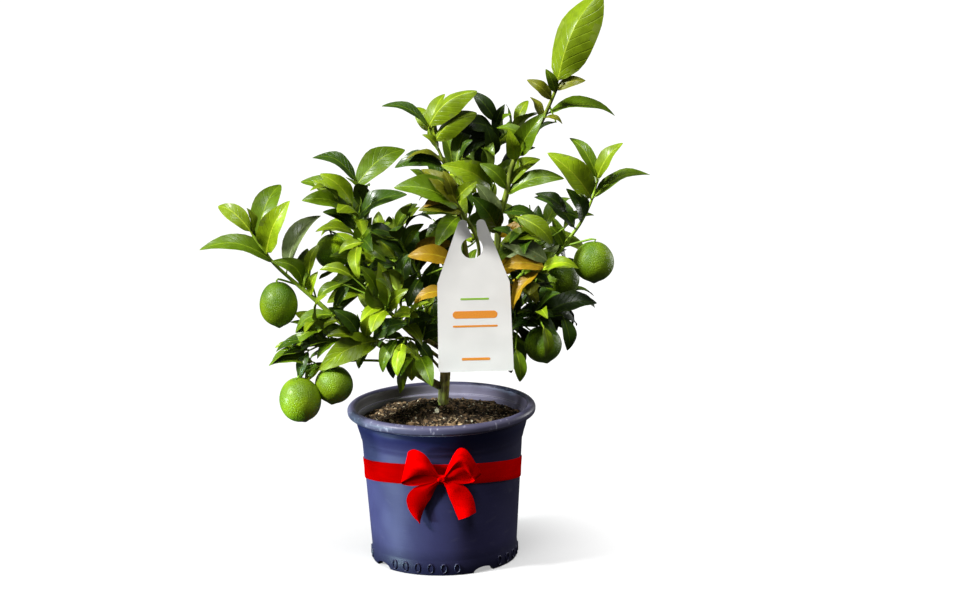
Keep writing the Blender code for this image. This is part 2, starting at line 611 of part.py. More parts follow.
class Limb:
    """A bough and the stem of its mass of foliage, along one route."""

    def __init__(self, name, parent, height, root_radius, end_radius, split, line):
        from_distance = parent.route.distance_at_height(height)
        root = parent.route.at(from_distance)
        self.name = name
        self.route = Route([root] + list(line))
        self.radii = (root_radius, end_radius)
        heading = self.route.heading(0.003)
        slope = heading.angle(parent.route.heading(from_distance))
        reach = parent.radius(from_distance) + GAP + root_radius * abs(math.cos(slope))
        self.start = min(reach / math.sin(slope), 0.030)
        if parent.name == "trunk" and from_distance >= parent.route.length - 0.0005:
            self.start = 2 * GAP
        self.split = self.route.length * split

    def radius(self, distance):
        share = min(max(distance / self.route.length, 0.0), 1.0)
        return self.radii[0] + (self.radii[1] - self.radii[0]) * share

    def bough(self):
        """The bough's points and radii, up to just short of the foliage."""
        points = self.route.stretch(self.start, self.split - GAP / 2, LIMB_STEP)
        return points, taper(len(points), self.radius(self.start), self.radius(self.split))

    def stem(self):
        """The points and radii of the stem that carries the foliage."""
        points = self.route.stretch(self.split + GAP / 2, self.route.length, LIMB_STEP)
        return points, taper(len(points), self.radius(self.split), self.radii[1])

    def stem_distance(self, share):
        return self.split + (self.route.length - self.split) * share


class Trunk:
    name = "trunk"

    def __init__(self):
        self.route = Route(TRUNK_LINE)
        self.heights = [point[2] for point in TRUNK_LINE]

    def radius(self, distance):
        height = self.route.at(distance).z
        for low, high, wide, narrow in zip(self.heights, self.heights[1:], TRUNK_RADII, TRUNK_RADII[1:]):
            if height <= high:
                return wide + (narrow - wide) * (height - low) / (high - low)
        return TRUNK_RADII[-1]


def make_limbs(parts):
    finish = material("bark", (0.10, 0.085, 0.025), 0.8)
    trunk = Trunk()
    curve = tube_curve("trunk", TRUNK_LINE, TRUNK_RADII, sides_step=4)
    add_object("trunk", curve, parts, finish)
    limbs = {"trunk": trunk}
    for name, (parent, height, root_radius, end_radius, split, line) in LIMBS.items():
        limb = Limb(name, limbs[parent], height, root_radius, end_radius, split, line)
        limbs[name] = limb
        points, radii = limb.bough()
        add_object(f"bough_{name}", tube_curve(f"bough_{name}", points, radii), parts, finish)
    return limbs


class Leaf:
    """One leaf: where its root is, the way it points, the way it faces, and its length."""

    OUTLINE = ((0.26, 0.42), (0.62, 0.47), (1.0, 0.0), (0.62, -0.47), (0.26, -0.42))
    PLAIN_OUTLINE = ((0.42, 0.51), (1.0, 0.0), (0.42, -0.51))
    MIDDLE = 0.38
    FOLD = 0.12
    ARCH = 0.080

    def __init__(self, root, direction, facing, length, pivot, plain=False):
        self.root = root
        self.direction = direction.normalized()
        self.side = self.direction.cross(facing).normalized()
        self.face = self.side.cross(self.direction).normalized()
        self.length = length
        self.pivot = pivot
        self.plain = plain

    def swung(self, degrees):
        """The same leaf turned about its pivot line, to look for room."""
        swing = Matrix.Rotation(math.radians(degrees), 3, self.pivot)
        direction = swing @ self.direction
        return Leaf(self.root, direction, swing @ self.face, self.length, self.pivot, self.plain)

    def corners(self, clear=0.0):
        """The root, the outline, and a middle above and below the blade."""
        length = self.length + clear
        width = self.length * LEAF_WIDTH + clear
        thick = self.length * LEAF_THICK + clear
        shape = [(0.0, 0.0, 0.0)]
        for along, across in self.PLAIN_OUTLINE if self.plain else self.OUTLINE:
            lift = self.FOLD * width * 2 * abs(across) + self.rise(along)
            shape.append((along * length, across * width, lift))
        middle = self.MIDDLE * length
        rise = self.rise(self.MIDDLE)
        shape += [(middle, 0.0, rise + thick), (middle, 0.0, rise - thick)]
        return [self.root + self.direction * x + self.side * y + self.face * z for x, y, z in shape]

    def rise(self, along):
        """How far the blade arches above the straight line from its root to its tip."""
        return self.ARCH * self.length * 4 * along * (1 - along)

    def faces(self, first=0):
        """Triangles from each middle to the rim; the rim may leave out the root."""
        rim = len(self.PLAIN_OUTLINE if self.plain else self.OUTLINE) + 1
        loop = list(range(first, rim))
        pairs = list(zip(loop, loop[1:] + loop[:1]))
        return [(a, b, rim) for a, b in pairs] + [(b, a, rim + 1) for a, b in pairs]

    def shape(self, clear=0.0):
        """The whole leaf, with some room round it, for tests against other masses."""
        return Shape(self.corners(clear), self.faces())

    def blade(self):
        """The part clear of its own twig, for tests against its neighbours on the same mass."""
        return Shape(self.corners(), self.faces(first=1))


def placed_leaf(limb, row):
    """A leaf given by how it is seen from the front."""
    share, bearing, lean, turn, length = row
    bearing = math.radians(bearing)
    lean = math.radians(lean)
    across = math.cos(lean)
    direction = Vector((math.cos(bearing) * across, -math.sin(lean), math.sin(bearing) * across))
    front = Vector((0.0, -1.0, 0.35))
    front = (front - direction * front.dot(direction)).normalized()
    sideways = direction.cross(front)
    if sideways.z < 0:
        sideways = -sideways
    turn = math.radians(turn)
    facing = front * math.cos(turn) + sideways * math.sin(turn)
    root = limb.route.at(limb.stem_distance(share) - ROOT_SETBACK) - direction * ROOT_DEPTH
    return Leaf(root, direction, facing, length, sideways)


def shoot_leaves(line, count, chance):
    """Leaves in a spiral along a side shoot, with one at its tip."""
    leaves = []
    phase = chance.uniform(0, 2 * math.pi)
    for number in range(count):
        share = 0.30 + 0.70 * number / max(count - 1, 1)
        distance = line.length * share
        heading = line.heading(distance)
        turn = phase + number * GOLDEN_ANGLE
        spread = math.radians(68 - 45 * share)
        if number == count - 1:
            spread = math.radians(8)
        away = heading.orthogonal().normalized()
        away.rotate(Matrix.Rotation(turn, 3, heading))
        lift = Vector((0.0, 0.0, 0.22))
        direction = heading * math.cos(spread) + away * math.sin(spread) + lift
        facing = Vector((0.0, 0.0, 1.0)) + heading * 0.5 + away * -0.3
        length = chance.uniform(*SHOOT_LEAF_LENGTHS) * (1.05 - 0.20 * share)
        root = line.at(distance - ROOT_SETBACK) - direction.normalized() * ROOT_DEPTH
        leaves.append(Leaf(root, direction, facing, length, heading, plain=True))
    return leaves


def side_shoots(limb, count, length, chance):
    """Short shoots that leave the stem in a spiral, bent up and out of the crown."""
    shoots = []
    phase = chance.uniform(0, 2 * math.pi)
    for number in range(count):
        share = 0.06 + 0.80 * (number + 0.5) / count
        distance = limb.stem_distance(share)
        root = limb.route.at(distance)
        heading = limb.route.heading(distance)
        away = heading.orthogonal().normalized()
        away.rotate(Matrix.Rotation(phase + number * GOLDEN_ANGLE, 3, heading))
        outward = (root - CROWN_MIDDLE).normalized()
        direction = (heading * 0.35 + away * 0.9 + outward * 0.35).normalized()
        reach = length * chance.uniform(0.85, 1.15)
        bend = Vector((0.0, 0.0, 0.18 * reach))
        shoots.append(Route([root, root + direction * reach * 0.5, root + direction * reach + bend]))
    return shoots


class Space:
    """The share of the crown that one mass keeps to: what lies nearest its own stem."""

    def __init__(self, name, limbs):
        self.own = self.anchors(name, limbs)
        self.others = [
            anchor for other in MASSES if other != name for anchor in self.anchors(other, limbs)
        ]

    @staticmethod
    def anchors(name, limbs):
        """Points along the stem and just past its tip, each with the strength of its claim."""
        limb = limbs[name]
        claim = MASSES[name][0] ** 2
        points = [limb.route.at(limb.stem_distance(share)) for share in (0.0, 0.33, 0.67, 1.0)]
        points.append(points[-1] + limb.route.heading(limb.route.length) * 0.018)
        return [(point, claim) for point in points]

    def holds(self, points):
        for point in points:
            if point.z < CROWN_FLOOR_Z:
                return False
            own = min((point - anchor).length_squared - claim for anchor, claim in self.own)
            other = min((point - anchor).length_squared - claim for anchor, claim in self.others)
            if own > other + SPACE_SLACK:
                return False
        return True


class Shape:
    """The outside of one piece, with a ball round it for quick tests."""

    def __init__(self, points, faces):
        self.points = points
        self.middle = sum(points, Vector()) / len(points)
        self.reach = max((point - self.middle).length for point in points)
        self.tree = BVHTree.FromPolygons(points, faces)

    def clear_of(self, others):
        for other in others:
            near = (self.middle - other.middle).length < self.reach + other.reach
            if near and self.tree.overlap(other.tree):
                return False
        return True


def world_shape(thing):
    """The outside of an object, with its modifiers, in world space."""
    graph = bpy.context.evaluated_depsgraph_get()
    mesh = bpy.data.meshes.new_from_object(thing.evaluated_get(graph))
    points = [thing.matrix_world @ vertex.co for vertex in mesh.vertices]
    faces = [tuple(face.vertices) for face in mesh.polygons]
    bpy.data.meshes.remove(mesh)
    return Shape(points, faces)


def find_obstacles(limbs, tag, scratch):
    """Everything that foliage keeps clear of, each a little larger than it is."""
    wide_tag = tag.data.copy()
    wide_tag.extrude = TAG_THICK / 2 + CLEARANCE
    wide_tag.offset = CLEARANCE
    tag_keep = add_object("keep_tag", wide_tag, scratch)
    tag_keep.location = tag.location
    tag_keep.rotation_euler = tag.rotation_euler
    trunk_radii = [radius + CLEARANCE for radius in TRUNK_RADII]
    curves = [tube_curve("keep_trunk", TRUNK_LINE, trunk_radii, sides_step=4)]
    for name in LIMBS:
        points, radii = limbs[name].bough()
        curves.append(tube_curve(f"keep_{name}", points, [radius + CLEARANCE for radius in radii]))
    things = [tag_keep] + [add_object(curve.name, curve, scratch) for curve in curves]
    bpy.context.view_layer.update()
    shapes = [world_shape(thing) for thing in things]
    for thing in things:
        bpy.data.objects.remove(thing)
    return shapes


def mesh_of_curve(name, curve, scratch):
    """The curve as a closed mesh object in the scratch collection, with its caps welded on."""
    temporary = add_object(name + "_curve", curve, scratch)
    bpy.context.view_layer.update()
    graph = bpy.context.evaluated_depsgraph_get()
    mesh = bpy.data.meshes.new_from_object(temporary.evaluated_get(graph))
    shape = bmesh.new()
    shape.from_mesh(mesh)
    bmesh.ops.remove_doubles(shape, verts=shape.verts, dist=MERGE)
    bmesh.ops.recalc_face_normals(shape, faces=shape.faces)
    shape.to_mesh(mesh)
    shape.free()
    bpy.data.objects.remove(temporary)
    return add_object(name, mesh, scratch)


def lime_object(name, centre, width, height, scratch):
    mesh = bpy.data.meshes.new(name)
    shape = bmesh.new()
    bmesh.ops.create_uvsphere(shape, u_segments=8, v_segments=6, radius=0.5)
    size = Matrix.Diagonal((width, width, height, 1.0))
    bmesh.ops.transform(shape, matrix=Matrix.Translation(centre) @ size, verts=shape.verts)
    shape.to_mesh(mesh)
    shape.free()
    return add_object(name, mesh, scratch)


def lime_stalk(limb, share, centre, height):
    """The stalk's points, from inside the stem to just inside the top of the fruit."""
    root = limb.route.at(limb.stem_distance(share) - 0.001)
    top = centre + Vector((0.0, 0.0, height / 2 - 0.0025))
    above = centre + Vector((0.0, 0.0, height / 2 + 0.003))
    return [root, above, top] if (root - above).length > 0.003 else [root, top]


def fuse(name, pieces, finish, parts):
    """Joins the pieces into one closed solid, and drops loose scraps and sealed hollows."""
    body = pieces[0]
    rest = bpy.data.collections.new("fuse_" + name)
    for piece in pieces[1:]:
        rest.objects.link(piece)
    bpy.context.scene.collection.children.link(rest)
    join = body.modifiers.new("join", "BOOLEAN")
    join.operation = "UNION"
    join.operand_type = "COLLECTION"
    join.collection = rest
    join.solver = "MANIFOLD"
    bpy.context.view_layer.update()
    graph = bpy.context.evaluated_depsgraph_get()
    mesh = bpy.data.meshes.new_from_object(body.evaluated_get(graph))
    for piece in pieces:
        bpy.data.objects.remove(piece)
    bpy.data.collections.remove(rest)
    keep_largest_body(mesh)
    mesh.name = name
    mesh.materials.clear()
    return add_object(name, mesh, parts, finish)


def keep_largest_body(mesh):
    shape = bmesh.new()
    shape.from_mesh(mesh)
    bodies = sorted(bodies_of(shape), key=len, reverse=True)
    scraps = [face for body in bodies[1:] for face in body]
    bmesh.ops.delete(shape, geom=scraps, context="FACES")
    shape.to_mesh(mesh)
    shape.free()


def bodies_of(shape):
    """The groups of faces that hang together."""
    left = set(shape.faces)
    bodies = []
    while left:
        queue = [left.pop()]
        body = list(queue)
        while queue:
            for edge in queue.pop().edges:
                for face in edge.link_faces:
                    if face in left:
                        left.remove(face)
                        queue.append(face)
                        body.append(face)
        bodies.append(body)
    return bodies


class Mass:
    """One mass of foliage while it grows: its pieces, the shapes that other masses keep clear of,
    and the blades that its own new leaves keep clear of."""

    def __init__(self, limb, limbs, section, scratch):
        self.limb = limb
        self.name = limb.name
        self.section = section
        self.scratch = scratch
        self.space = Space(limb.name, limbs)
        self.pieces = []
        self.shapes = []
        self.blades = []
        points, radii = limb.stem()
        self.keep(self.twig(points, [radius * STEM_SWELL for radius in radii]))
        for share, centre, width, height in MASSES[self.name][3]:
            centre = Vector(centre)
            points = lime_stalk(limb, share, centre, height)
            self.keep(self.twig(points, taper(len(points), *STALK_RADII)))
            self.keep(lime_object(f"{self.name}_lime", centre, width, height, scratch))

    def twig(self, points, radii):
        curve = tube_curve("twig", points, radii, self.section)
        return mesh_of_curve(f"{self.name}_twig", curve, self.scratch)

    def keep(self, piece):
        self.pieces.append(piece)
        self.shapes.append(world_shape(piece))
        self.blades.append(self.shapes[-1])

    def grow_placed(self, obstacles):
        """The leaves seen in front; they may reach into a neighbour's share where it is empty."""
        for row in MASSES[self.name][2]:
            self.grow_leaf(placed_leaf(self.limb, row), obstacles)

    def grow_shoots(self, obstacles):
        """The leafy side shoots that fill the mass."""
        shoots = MASSES[self.name][1]
        if shoots is None:
            return
        count, length, size, seed = shoots
        chance = random.Random(seed)
        for line in side_shoots(self.limb, count, length, chance):
            leaves = shoot_leaves(line, size, chance)
            shoot = self.twig([line.at(line.length * i / 2) for i in range(3)], SHOOT_RADII)
            shape = world_shape(shoot)
            if not self.space.holds(shape.points) or not shape.clear_of(obstacles):
                bpy.data.objects.remove(shoot)
                continue
            self.keep(shoot)
            for leaf in leaves:
                self.grow_leaf(leaf, obstacles)

    def grow_leaf(self, leaf, obstacles):
        """Adds the leaf, or the first swing of it, where there is room."""
        for degrees in SWINGS:
            swung = leaf.swung(degrees)
            shape = swung.shape(CLEARANCE / 2)
            blade = swung.blade()
            if min(point.z for point in shape.points) < CROWN_FLOOR_Z:
                continue
            if leaf.plain and not self.space.holds(shape.points):
                continue
            if shape.clear_of(obstacles) and blade.clear_of(self.blades):
                mesh = bpy.data.meshes.new(f"{self.name}_leaf")
                mesh.from_pydata([tuple(point) for point in swung.corners()], [], swung.faces())
                self.pieces.append(add_object(mesh.name, mesh, self.scratch))
                self.shapes.append(swung.shape())
                self.blades.append(blade)
                return


def grow_masses(limbs, fixed, section, scratch):
    """All stems and fruit first, then the leaves seen in front, then the side shoots."""
    masses = [Mass(limbs[name], limbs, section, scratch) for name in MASSES]

    def others(mass):
        return fixed + [shape for other in masses if other is not mass for shape in other.shapes]

    for mass in masses:
        mass.grow_placed(others(mass))
    for mass in masses:
        mass.grow_shoots(others(mass))
    return masses


def twig_section(scratch):
    """The three-sided section that every twig is drawn along its line with."""
    curve = bpy.data.curves.new("twig_section", "CURVE")
    curve.dimensions = "2D"
    spline = curve.splines.new("POLY")
    spline.points.add(2)
    for number, point in enumerate(spline.points):
        angle = 2 * math.pi * number / 3
        point.co = (math.cos(angle), math.sin(angle), 0.0, 1.0)
    spline.use_cyclic_u = True
    return add_object("twig_section", curve, scratch)


def clear_scene():
    for thing in list(bpy.data.objects):
        bpy.data.objects.remove(thing)


def main():
    clear_scene()
    parts = new_collection(PLANT_NAME)
    cutters = new_collection("cutters")
    scratch = new_collection("scratch")
    make_pot(parts, cutters)
    make_soil(parts)
    satin = make_band(parts, cutters)
    make_bow(parts, satin)
    tag = make_tag(parts)
    limbs = make_limbs(parts)
    bpy.context.view_layer.update()
    fixed = find_obstacles(limbs, tag, scratch)
    section = twig_section(scratch)
    finish = material("lime_foliage", (0.10, 0.24, 0.02), 0.35)
    for mass in grow_masses(limbs, fixed, section, scratch):
        fuse(f"foliage_{mass.name}", mass.pieces, finish, parts)
    bpy.data.objects.remove(section)
    bpy.data.collections.remove(scratch)


main()
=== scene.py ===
"""Looks for a potted lime tree: fine leaves, fruit, bark, soil, pot, ribbon bow and a plain hang tag.

Metres, +Z up. The origin is the centre of the pot's flat underside, and the bow faces -Y.
The crown grows by the same rule as the solids, from the same rows, so each leaf here lies in the
space of a leaf there, and a few finer shoots fill the gaps between them.
"""

import math
import random

import bmesh
import bpy
import numpy as np
from mathutils import Matrix, Vector, noise
from mathutils.bvhtree import BVHTree


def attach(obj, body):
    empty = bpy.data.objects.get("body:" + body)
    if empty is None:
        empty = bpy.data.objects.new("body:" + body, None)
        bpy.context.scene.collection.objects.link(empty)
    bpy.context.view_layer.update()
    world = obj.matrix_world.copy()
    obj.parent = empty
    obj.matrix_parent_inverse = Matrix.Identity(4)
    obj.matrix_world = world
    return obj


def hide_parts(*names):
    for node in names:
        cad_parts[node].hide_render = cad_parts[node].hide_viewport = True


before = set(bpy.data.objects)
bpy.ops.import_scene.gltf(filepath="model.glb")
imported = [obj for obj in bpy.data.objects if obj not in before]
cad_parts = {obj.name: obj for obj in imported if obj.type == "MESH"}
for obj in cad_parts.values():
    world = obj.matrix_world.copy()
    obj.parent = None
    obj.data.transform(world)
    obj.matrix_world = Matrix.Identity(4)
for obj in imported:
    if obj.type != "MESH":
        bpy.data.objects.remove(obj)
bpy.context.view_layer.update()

UP = Vector((0.0, 0.0, 1.0))
GAP = 0.0003

# Camera: the photograph's place, aim, roll and lens
CAMERA_PLACE = (0.0, -3.3304, 1.0353)
CAMERA_AIM = (0.054, 0.0, 0.297)
CAMERA_ROLL = math.radians(1.15)
CAMERA_LENS = 111.0
CAMERA_SENSOR = 36.0
CAMERA_REACH = 60.0

# Pot and soil
POT_HEIGHT = 0.180
RIM_RADIUS = 0.108
RIM_HEIGHT = 0.011
RIM_WIDTH = 0.010
NECK_RADIUS = 0.0975
NECK_FOOT_Z = 0.140
WALL_TOP_RADIUS = 0.0916
WALL_FOOT_Z = 0.017
WALL_FOOT_RADIUS = 0.0835
POT_FOOT_RADIUS = 0.084
POT_WALL = 0.003
POT_SHARP = 38
CHANNEL_INNER = 0.062
CHANNEL_OUTER = 0.077
CHANNEL_DEPTH = 0.008
ARCH_COUNT = 4
ARCH_FIRST = math.radians(32)
ARCH_HALF_WIDTH = 0.0135
ARCH_HEIGHT = 0.0065
ARCH_DEPTH = 0.014
RING_COUNT = 6
RING_FIRST = math.radians(9.4)
RING_STEP = math.radians(-10.4)
RING_Z = 0.0085
RING_HALF_WIDTH = 0.0030
RING_HALF_HEIGHT = 0.0050
RING_BULGE = 0.0012
RING_HALF_LINE = 0.0008
# The inside of the pot that shows: from and to which height, the radius that it stays within below
# and above its ledge, and where the one gives way to the other
INSIDE_HEIGHTS = (0.157, 0.1772)
INSIDE_RADII = (0.0966, 0.0992)
INSIDE_STEP_Z = 0.1668
LEDGE_Z = 0.1669
SOIL_CREST_Z = 0.180
SOIL_EDGE_Z = 0.1605
SOIL_UNDER_Z = 0.1585
# The soil is rough as far as this radius, less and less over this width
SOIL_ROUGH_RADIUS = 0.0935
SOIL_ROUGH_FADE = 0.006

# Ribbon and bow
BAND_WIDTH = 0.025
BAND_THICK = 0.0009
BAND_Z = 0.104
# The ribbon as seen: how much higher it sits all round, towards the bow and towards one side
BAND_RISE = 0.0019
BAND_RISE_FRONT = 0.0151
BAND_RISE_SIDE = 0.0013
BAND_HALF_SHARE = 0.47
BAND_RIPPLE = 0.00035
# The ribbon's section: how far up or down, and how far out, each as a share
BAND_SECTION = (
    (-1.0, 0.0), (-1.0, 0.7), (-0.92, 1.0), (-0.5, 0.9), (0.0, 0.85), (0.5, 0.9), (0.92, 1.0), (1.0, 0.7),
    (1.0, 0.0),
)
KNOT_SIZE = (0.0095, 0.0080, 0.0090)
KNOT_CENTRE = (-0.002, -0.0957, 0.118)

# Hang tag
TAG_Y = -0.075
TAG_THICK = 0.0008
TAG_BOTTOM_Z = 0.235
TAG_SHOULDER_Z = 0.3365
TAG_TOP_Z = 0.4077
TAG_BOTTOM_X = (-0.0024, 0.0819)
TAG_SHOULDER_X = (-0.0014, 0.0791)
TAG_EAR_X = (0.0281, 0.0485)
TAG_EAR_RADIUS = 0.0052
TAG_HOLE = (0.0379, 0.3758)
TAG_HOLE_RADIUS = 0.012
TAG_CORNER = 0.002
TAG_SLIT = (math.radians(84), math.radians(57))

# Trunk: its line from the ground up, and its radius at each of those heights
TRUNK_LINE = (
    (0.0024, 0.000, 0.1803), (0.0024, 0.000, 0.184), (0.0028, 0.000, 0.191), (0.0044, 0.000, 0.205),
    (0.0062, 0.001, 0.222), (0.0125, 0.002, 0.250), (0.0200, 0.004, 0.277), (0.0260, 0.006, 0.298),
)
TRUNK_RADII = (0.0098, 0.0082, 0.0068, 0.0060, 0.0058, 0.0054, 0.0048, 0.0043)

LEAF_THICK = 0.011
LEAF_WIDTH = 0.44
SHOOT_LEAF_LENGTHS = (0.040, 0.056)
FINE_LEAF_LENGTHS = (0.034, 0.054)
GOLDEN_ANGLE = math.radians(137.5)
LIMB_STEP = 0.024
CLEARANCE = 0.0008
ROOT_DEPTH = 0.0004
ROOT_SETBACK = 0.0012
STEM_SWELL = 1.25
STALK_RADII = (0.0013, 0.0011)
SHOOT_RADII = (0.0013, 0.0011, 0.0009)
SWINGS = (0, 14, -14, 28, -28)
SPACE_SLACK = 0.0014
PAST_TIP = 0.018
CROWN_FLOOR_Z = 0.187
CROWN_MIDDLE = Vector((0.02, 0.01, 0.30))

# Each limb: what it grows from and how high, its radius at the root and at the end, how far along
# it the bough stops and the mass of foliage takes over, and its line from the root on
LIMBS = {
    "left": ("trunk", 0.197, 0.0033, 0.0010, 0.36, (
        (-0.030, -0.010, 0.221), (-0.068, -0.022, 0.256), (-0.102, -0.030, 0.277),
        (-0.141, -0.033, 0.314), (-0.183, -0.037, 0.355), (-0.208, -0.040, 0.392))),
    "left_low": ("left", 0.236, 0.0020, 0.0009, 0.22, (
        (-0.066, -0.036, 0.262), (-0.090, -0.047, 0.271), (-0.120, -0.055, 0.270),
        (-0.148, -0.062, 0.260))),
    "fruit_pair": ("left", 0.215, 0.0019, 0.0010, 0.52, (
        (-0.048, -0.026, 0.234), (-0.075, -0.036, 0.241), (-0.113, -0.052, 0.2445),
        (-0.140, -0.064, 0.242))),
    "upper_left": ("trunk", 0.236, 0.0030, 0.0011, 0.40, (
        (-0.030, -0.002, 0.266), (-0.062, -0.008, 0.296), (-0.080, -0.011, 0.325),
        (-0.090, -0.014, 0.372), (-0.095, -0.016, 0.416), (-0.089, -0.016, 0.442))),
    "mid_left": ("trunk", 0.226, 0.0024, 0.0010, 0.40, (
        (-0.014, -0.022, 0.250), (-0.039, -0.034, 0.276), (-0.056, -0.045, 0.298),
        (-0.070, -0.055, 0.318))),
    "inner_left": ("trunk", 0.264, 0.0024, 0.0010, 0.34, (
        (-0.006, 0.012, 0.296), (-0.026, 0.010, 0.338), (-0.043, 0.006, 0.370),
        (-0.050, 0.004, 0.398))),
    "low_front": ("trunk", 0.213, 0.0020, 0.0009, 0.40, (
        (-0.008, -0.022, 0.236), (-0.022, -0.036, 0.258), (-0.036, -0.046, 0.269),
        (-0.050, -0.054, 0.270))),
    "top": ("trunk", 0.286, 0.0030, 0.0012, 0.48, (
        (0.030, 0.022, 0.316), (0.032, 0.024, 0.350), (0.022, 0.022, 0.410),
        (0.008, 0.020, 0.459), (-0.004, 0.018, 0.487), (-0.007, 0.016, 0.497))),
    "leader": ("trunk", 0.298, 0.0036, 0.0013, 0.30, (
        (0.0294, 0.0071, 0.310), (0.048, 0.010, 0.326), (0.066, 0.010, 0.352), (0.070, 0.010, 0.390),
        (0.079, 0.009, 0.420), (0.088, 0.005, 0.458), (0.111, 0.000, 0.488),
        (0.124, -0.006, 0.513), (0.139, -0.015, 0.548))),
    "top_right": ("leader", 0.330, 0.0024, 0.0011, 0.42, (
        (0.058, 0.028, 0.360), (0.060, 0.036, 0.395), (0.064, 0.036, 0.440),
        (0.067, 0.034, 0.480), (0.070, 0.032, 0.500))),
    "front": ("trunk", 0.274, 0.0026, 0.0017, 0.80, (
        (0.034, -0.026, 0.318), (0.0444, -0.062, 0.3585), (0.0450, -0.0750, 0.3792),
        (0.0385, -0.0815, 0.400), (0.028, -0.086, 0.418), (0.018, -0.088, 0.436))),
    "right": ("trunk", 0.268, 0.0030, 0.0010, 0.40, (
        (0.045, 0.008, 0.286), (0.080, 0.004, 0.306), (0.110, -0.006, 0.331),
        (0.131, -0.015, 0.350), (0.149, -0.020, 0.374), (0.162, -0.020, 0.392),
        (0.174, -0.020, 0.416), (0.181, -0.020, 0.440))),
    "right_low": ("trunk", 0.250, 0.0024, 0.0010, 0.46, (
        (0.045, 0.012, 0.266), (0.080, 0.008, 0.284), (0.108, 0.000, 0.302),
        (0.140, -0.006, 0.318))),
    "low_right": ("trunk", 0.232, 0.0022, 0.0010, 0.46, (
        (0.040, -0.012, 0.250), (0.070, -0.022, 0.270), (0.096, -0.032, 0.284),
        (0.118, -0.040, 0.288))),
    "inner_right": ("right", 0.294, 0.0020, 0.0010, 0.30, (
        (0.080, -0.014, 0.318), (0.098, -0.030, 0.342), (0.108, -0.036, 0.366),
        (0.112, -0.038, 0.390))),
    "back_left": ("trunk", 0.246, 0.0026, 0.0010, 0.40, (
        (-0.018, 0.036, 0.272), (-0.048, 0.070, 0.298), (-0.070, 0.094, 0.322),
        (-0.082, 0.108, 0.346))),
    "back_right": ("trunk", 0.252, 0.0026, 0.0010, 0.40, (
        (0.048, 0.044, 0.286), (0.085, 0.076, 0.312), (0.112, 0.098, 0.336),
        (0.126, 0.110, 0.360))),
    "back_top": ("trunk", 0.270, 0.0026, 0.0010, 0.40, (
        (0.024, 0.034, 0.303), (0.028, 0.064, 0.346), (0.024, 0.086, 0.390),
        (0.018, 0.098, 0.428))),
    "back_low": ("trunk", 0.221, 0.0024, 0.0010, 0.36, (
        (0.016, 0.044, 0.240), (0.026, 0.084, 0.254), (0.034, 0.116, 0.262),
        (0.040, 0.140, 0.272))),
}

